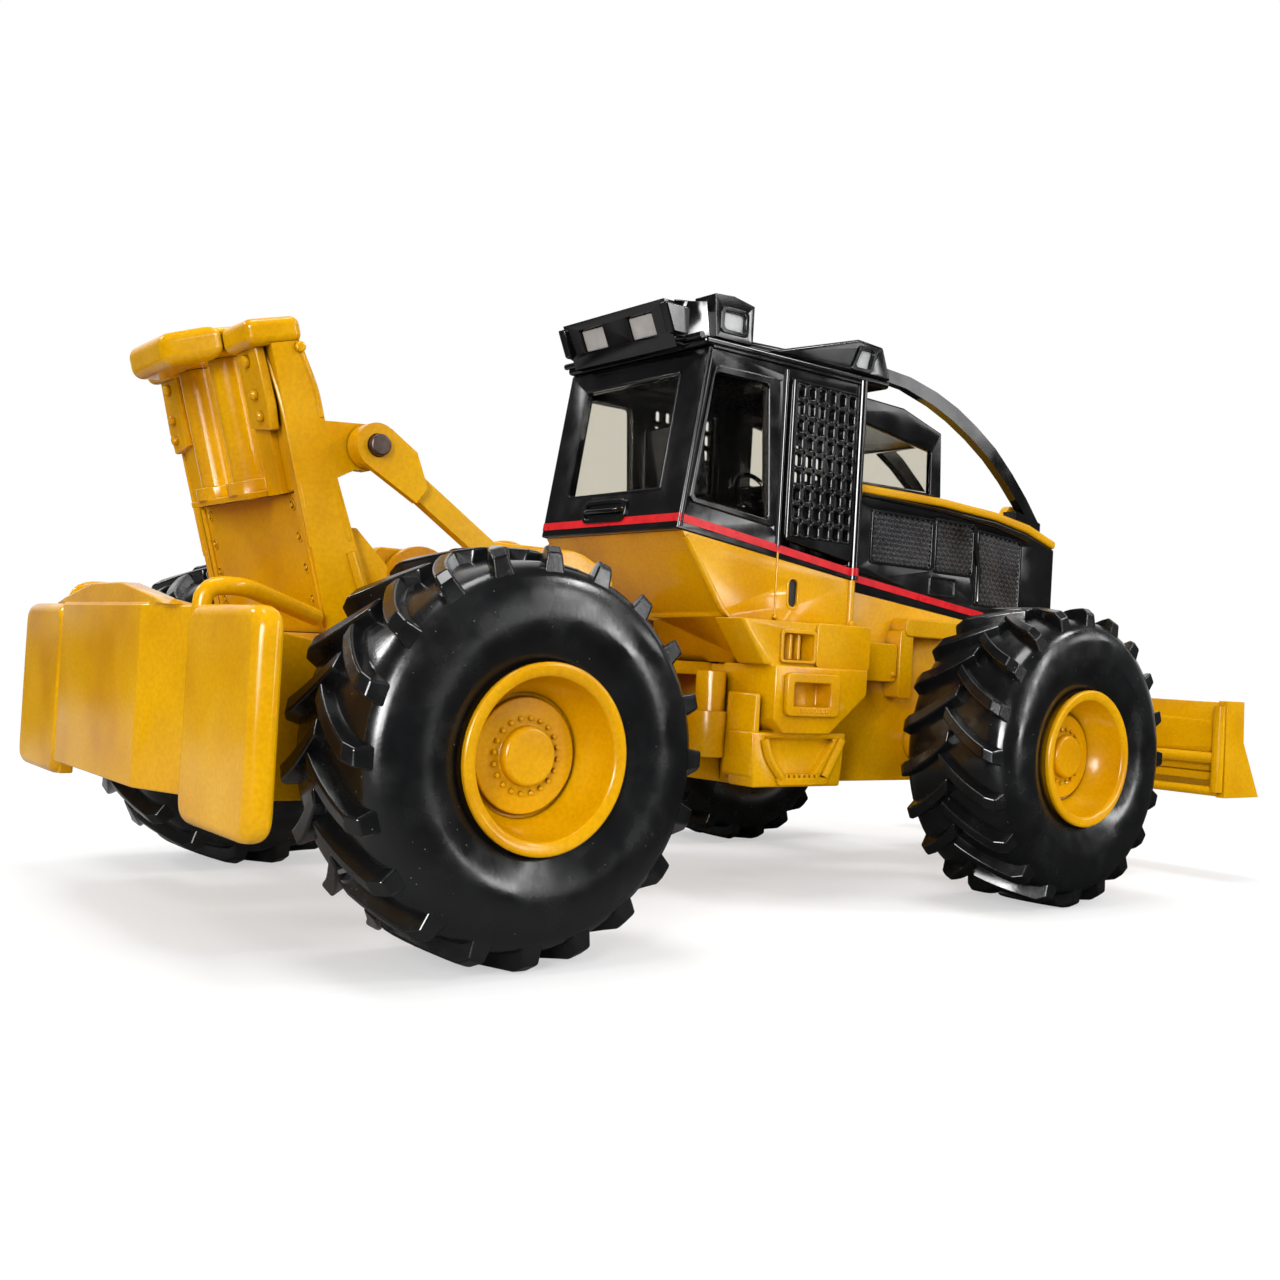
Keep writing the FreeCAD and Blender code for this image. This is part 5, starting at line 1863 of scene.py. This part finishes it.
@dataclass
class RoofLamps(Assembly):
    """Raised frames round the side and pod lamps, the collar's lip and the lamp bar's end tabs.
    """

    half: float = 12.4
    side_lamp: tuple[float, float, float, float] = (32.6, 58.9, 35.8, 61.0)
    pod: Outline = ((52.2, 58.5), (54.9, 58.5), (55.6, 60.9), (53.4, 60.9))
    lip: tuple[Point, Point] = ((30.1, -12.2, 57.9), (30.1, 12.2, 57.9))
    tab: Outline = ((28.2, 58.2), (30.4, 58.2), (30.4, 61.2), (26.9, 61.2))

    def framed(self, name: str, lamp: Outline, high: float) -> Piece:
        """Make a rounded raised frame round one lamp.

        Args:
            name: name of the piece.
            lamp: outline of the lamp.
            high: level of the frame's face over the roof's side.

        Returns:
            The frame.
        """
        outer = rounded(shrunk(lamp, -0.35), 0.6)
        inner = rounded(shrunk(lamp, 0.12), 0.55)
        return bevelled(ring(name, on_side(self.half), outer, inner, -0.4, high), 0.12, 2)

    def build(self) -> list[Piece]:
        """Frame the side and pod lamps, and add the collar's lip and tabs.

        Returns:
            The frames, in a list of their own.
        """
        side = self.framed("side_lamp_frame", box_outline(*self.side_lamp), 0.15)
        pod = self.framed("pod_lamp_frame", self.pod, 0.2)
        lip = rod("collar_lip", self.lip, 0.35)
        tab = bevelled(pad("tab", on_side(9.1), self.tab, -0.5, 0.7), 0.25, 2)
        parts = [both("side_frames", side), both("pod_frames", pod), lip, both("tabs", tab)]
        return [self.black(joined("roof_lamp_frames", parts))]


@dataclass
class Hood(Assembly):
    """Woven grilles, hatch, crease and edge trim of the hood."""

    half: float = 8.6
    nose_x: float = 97.0
    nose: tuple[float, float, float, float] = (-6.8, 34.6, 6.8, 41.6)
    bays: dict[str, Outline] = field(default_factory=lambda: {
        "front": ((61.0, 37.6), (71.6, 37.6), (71.6, 43.4), (61.0, 43.4)),
        "middle": ((72.6, 37.4), (79.6, 37.4), (79.6, 43.6), (72.6, 43.6)),
        "rear": ((80.8, 33.9), (89.4, 33.7), (89.4, 42.4), (80.8, 43.0))})
    # Real mesh is finer: its wires are spaced over half a millimetre apart, to show.
    row_pitch: float = 0.62
    column_pitch: float = 0.5
    row_radius: float = 0.18
    wire_radius: float = 0.14
    wire_levels: tuple[float, float] = (-0.3, 0.16)
    crease: Outline = ((54.9, 37.3), (60.4, 36.6), (67.2, 34.9), (55.0, 36.5))
    upper_trim: Outline = ((54.9, 45.35), (73.5, 44.9), (84.0, 44.1), (91.0, 43.0))
    slant: Outline = ((79.7, 43.6), (80.3, 40.5), (80.9, 38.3), (80.9, 34.2))
    ear: Outline = ((87.6, 45.0), (92.9, 43.6), (92.6, 46.2), (91.2, 47.4), (89.6, 47.6))

    def limits(self, bay: Outline, x: float) -> tuple[float, float]:
        """Find a bay's height at a distance along it.

        Args:
            bay: its four corners.
            x: distance along the plane that it lies on.

        Returns:
            Its lower and its upper z.
        """
        (xa, za), (xb, zb), (_, zc), (_, zd) = bay
        t = (x - xa) / (xb - xa)
        return za + (zb - za) * t, zd + (zc - zd) * t

    def build_mesh(self, name: str, place: Place, bay: Outline) -> list[Piece]:
        """Weave one grille: flat rows with a zigzag of short uprights between them.

        Args:
            name: name of the bay.
            place: plane that it lies on.
            bay: its four corners.

        Returns:
            The rows and the uprights.
        """
        (x0, _), (x1, _), _, _ = bay
        parts = []
        low, high = self.limits(bay, (x0 + x1) / 2)
        rows = int((high - low) / self.row_pitch)
        columns = int((x1 - x0) / self.column_pitch)
        for row in range(1, rows + 1):
            t = row / (rows + 1)
            ends = []
            for x in (x0 + 0.1, x1 - 0.1):
                bottom, top = self.limits(bay, x)
                ends.append(place(x, bottom + (top - bottom) * t, -0.12))
            parts.append(tube(name + "_row", ends, self.row_radius, 6))
        for column in range(1, columns + 1):
            x = x0 + (x1 - x0) * column / (columns + 1)
            bottom, top = self.limits(bay, x)
            path = [place(x, bottom + (top - bottom) * row / (rows + 1),
                          self.wire_levels[(row + column) % 2]) for row in range(rows + 2)]
            parts.append(tube(name + "_wire", path, self.wire_radius, 4))
        return parts

    def build_grilles(self) -> Piece:
        """Weave the six side grilles and the nose grille.

        Returns:
            The grilles.
        """
        side, front = on_side(self.half), on_front(self.nose_x)
        right = []
        for name, bay in self.bays.items():
            right += self.build_mesh(name, side, bay)
            right.append(pad(name + "_floor", side, bay, -0.5, -0.36))
        sides = both("side_grilles", joined("grilles_right", right))
        nose = self.build_mesh("nose", front, box_outline(*self.nose))
        nose.append(pad("nose_floor", front, box_outline(*self.nose), -0.6, -0.4))
        woven = joined("hood_grilles_woven", [sides] + nose)
        # The grilles' coat is lightened towards grey: painted sheen for the light on the wires.
        return finished(woven, self.finishes.mesh_black, self.body, ["hood_grilles"])

    def build_trim(self) -> Piece:
        """Frame the bays, fold the crease and outline the hatch.

        Returns:
            The trim of both sides.
        """
        place = on_side(self.half)
        parts = [bevelled(ring("bay_frame", place, rounded(shrunk(bay, -0.3), 0.4),
                               rounded(shrunk(bay, 0.05), 0.4), -0.1, 0.14), 0.07, 2)
                 for bay in self.bays.values()]
        crease = pad("crease", place, self.crease, -0.1, 0.28)
        hatch = ring("hatch", place, rounded(box_outline(71.6, 34.2, 76.6, 36.7), 0.3),
                     rounded(box_outline(71.9, 34.5, 76.3, 36.4), 0.2), -0.1, 0.16)
        upper = tube("upper_trim", [place(x, z, 0.05) for x, z in self.upper_trim], 0.28, 8)
        slant = tube("slant", [place(x, z, 0.1) for x, z in self.slant], 0.3, 8)
        parts += [bevelled(crease, 0.1, 2), bevelled(hatch, 0.07, 2), upper, slant]
        return self.black(both("hood_trim", joined("trim", parts)))

    def build_bracket(self) -> Piece:
        """Raise the yellow ears that hold the feet of the limb risers."""
        ear = pad("ear", on_side(6.2), rounded(self.ear, 0.6), -0.9, 0.3)
        return self.yellow(both("riser_ears", bevelled(ear, 0.2, 3)))

    def build(self) -> list[Piece]:
        """Build the hood's dressing."""
        return [self.build_grilles(), self.build_trim(), self.build_bracket()]


@dataclass
class StepFittings(Assembly):
    """Rungs, serrated lips and brackets of the two step boxes."""

    tank: float = 16.6
    box: float = 17.3
    step: float = 16.2
    # Blocks: x0, x1, z0, z1 of the face, inner and outer level, and edge rounding.
    blocks: tuple[tuple[str, float, float, float, float, float, float, float], ...] = (
        ("tank_end", 44.3, 52.55, 24.45, 29.3, 12.2, 16.95, 0.6),
        ("inner_box", 55.0, 63.9, 23.4, 27.9, 8.4, 10.9, 0.6),
        ("bracket_top", 64.6, 75.0, 28.9, 31.05, 8.4, 11.5, 0.7),
        ("bracket_leg", 63.9, 66.2, 21.5, 29.6, 8.4, 11.3, 0.55))
    tread: Outline = ((40.2, 12.1), (47.2, 12.1), (47.6, 12.9), (39.8, 12.9))
    upright: Outline = ((36.5, 13.0), (37.6, 12.6), (37.6, 21.6), (36.9, 21.6))

    def teeth(self, name: str, place: Place, ends: tuple[float, float], z: float, out: float,
              count: int) -> list[Piece]:
        """Line up small rounded teeth along an edge.

        Args:
            name: name of a tooth.
            place: plane that they stand on.
            ends: both ends of the row.
            z: height of their feet.
            out: level of the edge over the plane.
            count: number of teeth.

        Returns:
            The teeth.
        """
        x0, x1 = ends
        pitch = (x1 - x0) / count
        outlines = [box_outline(x0 + pitch * (k + 0.2), z, x0 + pitch * (k + 0.8), z + 0.55)
                    for k in range(count)]
        return [bevelled(pad(name, place, outline, out - 0.2, out + 0.22), 0.1, 2)
                for outline in outlines]

    def build_pockets(self) -> list[Piece]:
        """Rim the recess and the pocket, and set rungs, teeth and tread in them.

        Returns:
            The right side's small fittings.
        """
        tank, box, step = on_side(self.tank), on_side(self.box), on_side(self.step)
        parts = self.teeth("pocket_tooth", box, (41.2, 45.6), 19.75, 0.5, 6)
        parts += self.teeth("tread_tooth", step, (40.9, 46.2), 12.7, 0.1, 7)
        parts += [tube("rung", [tank(x, 25.3, -0.9), tank(x, 27.9, -0.9)], 0.3, 8)
                  for x in (41.4, 42.6)]
        lip = ring("recess_lip", tank, rounded(box_outline(39.2, 24.9, 44.4, 28.4), 0.5),
                   rounded(box_outline(39.6, 25.2, 44.0, 28.0), 0.35), -0.2, 0.22)
        collar = ring("pocket_collar", box, rounded(box_outline(39.4, 19.4, 47.2, 23.9), 0.7),
                      rounded(box_outline(40.4, 20.4, 45.8, 22.9), 0.35), -0.1, 0.62)
        tread = pad("tread", step, rounded(self.tread, 0.3), -0.6, 0.35)
        return parts + [bevelled(lip, 0.1, 2), bevelled(collar, 0.2, 3),
                        bevelled(tread, 0.15, 2)]

    def build_brackets(self) -> list[Piece]:
        """Hang the tread from its brackets, and cast the blocks behind the boxes.

        Returns:
            The right side's brackets and blocks.
        """
        step = on_side(self.step)
        rear_arm = tube("bracket", bent([step(38.0, 16.9, 0.1), step(38.6, 15.0, 0.15),
                                         step(40.6, 12.9, 0.15)], 1.2, 4), 0.5, 8)
        front_arm = tube("bracket", [step(49.4, 16.9, 0.1), step(46.9, 12.9, 0.15)], 0.5, 8)
        upright = pad("upright", on_side(12.4), self.upright, -1.0, 3.6)
        parts = [rear_arm, front_arm, bevelled(upright, 0.3, 3)]
        for name, x0, x1, z0, z1, inner, outer, edge in self.blocks:
            face = rounded(box_outline(x0, z0, x1, z1), edge, 3)
            parts.append(bevelled(pad(name, on_side(0.0), face, inner, outer), edge * 0.8, 3))
        return parts + [stud("boss", on_side(10.9), 63.2, 24.3, -0.1, 0.35, 0.3, 12)]

    def build(self) -> list[Piece]:
        """Build one side's fittings and mirror them."""
        parts = self.build_pockets() + self.build_brackets()
        return [self.yellow(both("step_fittings", joined("fittings", parts)))]


@dataclass
class BladeRibs(Assembly):
    """Rolled ribs along the blade's back and the thick edge of its end plates."""

    body: str = "blade"
    half: float = 27.6
    back: float = 107.2
    # Ribs: their share of the blade's height, and radius.
    ribs: tuple[tuple[float, float], ...] = ((0.40, 0.75), (0.06, 0.6))

    def build(self) -> list[Piece]:
        """Roll the two ribs and edge the end plates.

        Returns:
            The ribs, in a list of their own.
        """
        low, high = (corner[2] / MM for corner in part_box("blade"))
        parts = []
        for share, radius in self.ribs:
            z = low + share * (high - low)
            parts.append(rod("rib", ((self.back, -self.half, z), (self.back, self.half, z)),
                             radius, 12))
        x = self.back - 0.3
        edge = rod("edge", ((x, -self.half, high - 0.7), (x, -self.half, low + 0.7)), 0.75, 12)
        parts.append(both("end_edges", edge))
        return [self.yellow(joined("blade_ribs", parts))]


@dataclass
class CabInside(Assembly):
    """Steering wheel, column and console that show through the panes."""

    hub: Point = (49.2, 0.0, 44.6)
    column_foot: Point = (52.3, 0.0, 40.2)
    rim_radius: float = 2.6
    tilt: float = 35.0
    console: Outline = ((50.4, 37.0), (53.2, 36.6), (53.2, 44.6), (51.4, 44.0))

    def build(self) -> list[Piece]:
        """Build the driver's controls.

        Returns:
            The controls, in a list of their own.
        """
        x, _, z = self.hub
        back = self.rim_radius * math.sin(math.radians(self.tilt))
        rise = self.rim_radius * math.cos(math.radians(self.tilt))
        rim = [at(x - back * s, self.rim_radius * c, z + rise * s) for c, s in circle(24)]
        wheel = tube("steering_wheel", rim + [rim[0]], 0.28, 8)
        column = rod("column", (self.hub, self.column_foot), 0.5, 10)
        spokes = [tube("spoke", [rim[k], at(*self.hub)], 0.18, 6) for k in (0, 12, 18)]
        console = bevelled(pad("console", on_side(0.0, Side.LEFT), rounded(self.console, 0.6),
                               -5.5, 5.5), 0.4, 3)
        return [self.black(joined("cab_controls", [wheel, column, console] + spokes))]


def main() -> None:
    """Build each sub-assembly in order and report its pieces."""
    finishes = Finishes()
    for kind in (Wheel, CastParts, ButtPlate, Arch, Stripe, Cab, RoofLamps, Hood,
                 StepFittings, BladeRibs, CabInside):
        for piece in kind(finishes).build():
            log.info("%s is done", piece.name)
    Stage().build()
    bpy.context.scene.view_settings.view_transform = "Standard"


if __name__ == "__main__":
    logging.basicConfig(level=logging.INFO, format="%(name)s %(message)s")
    main()
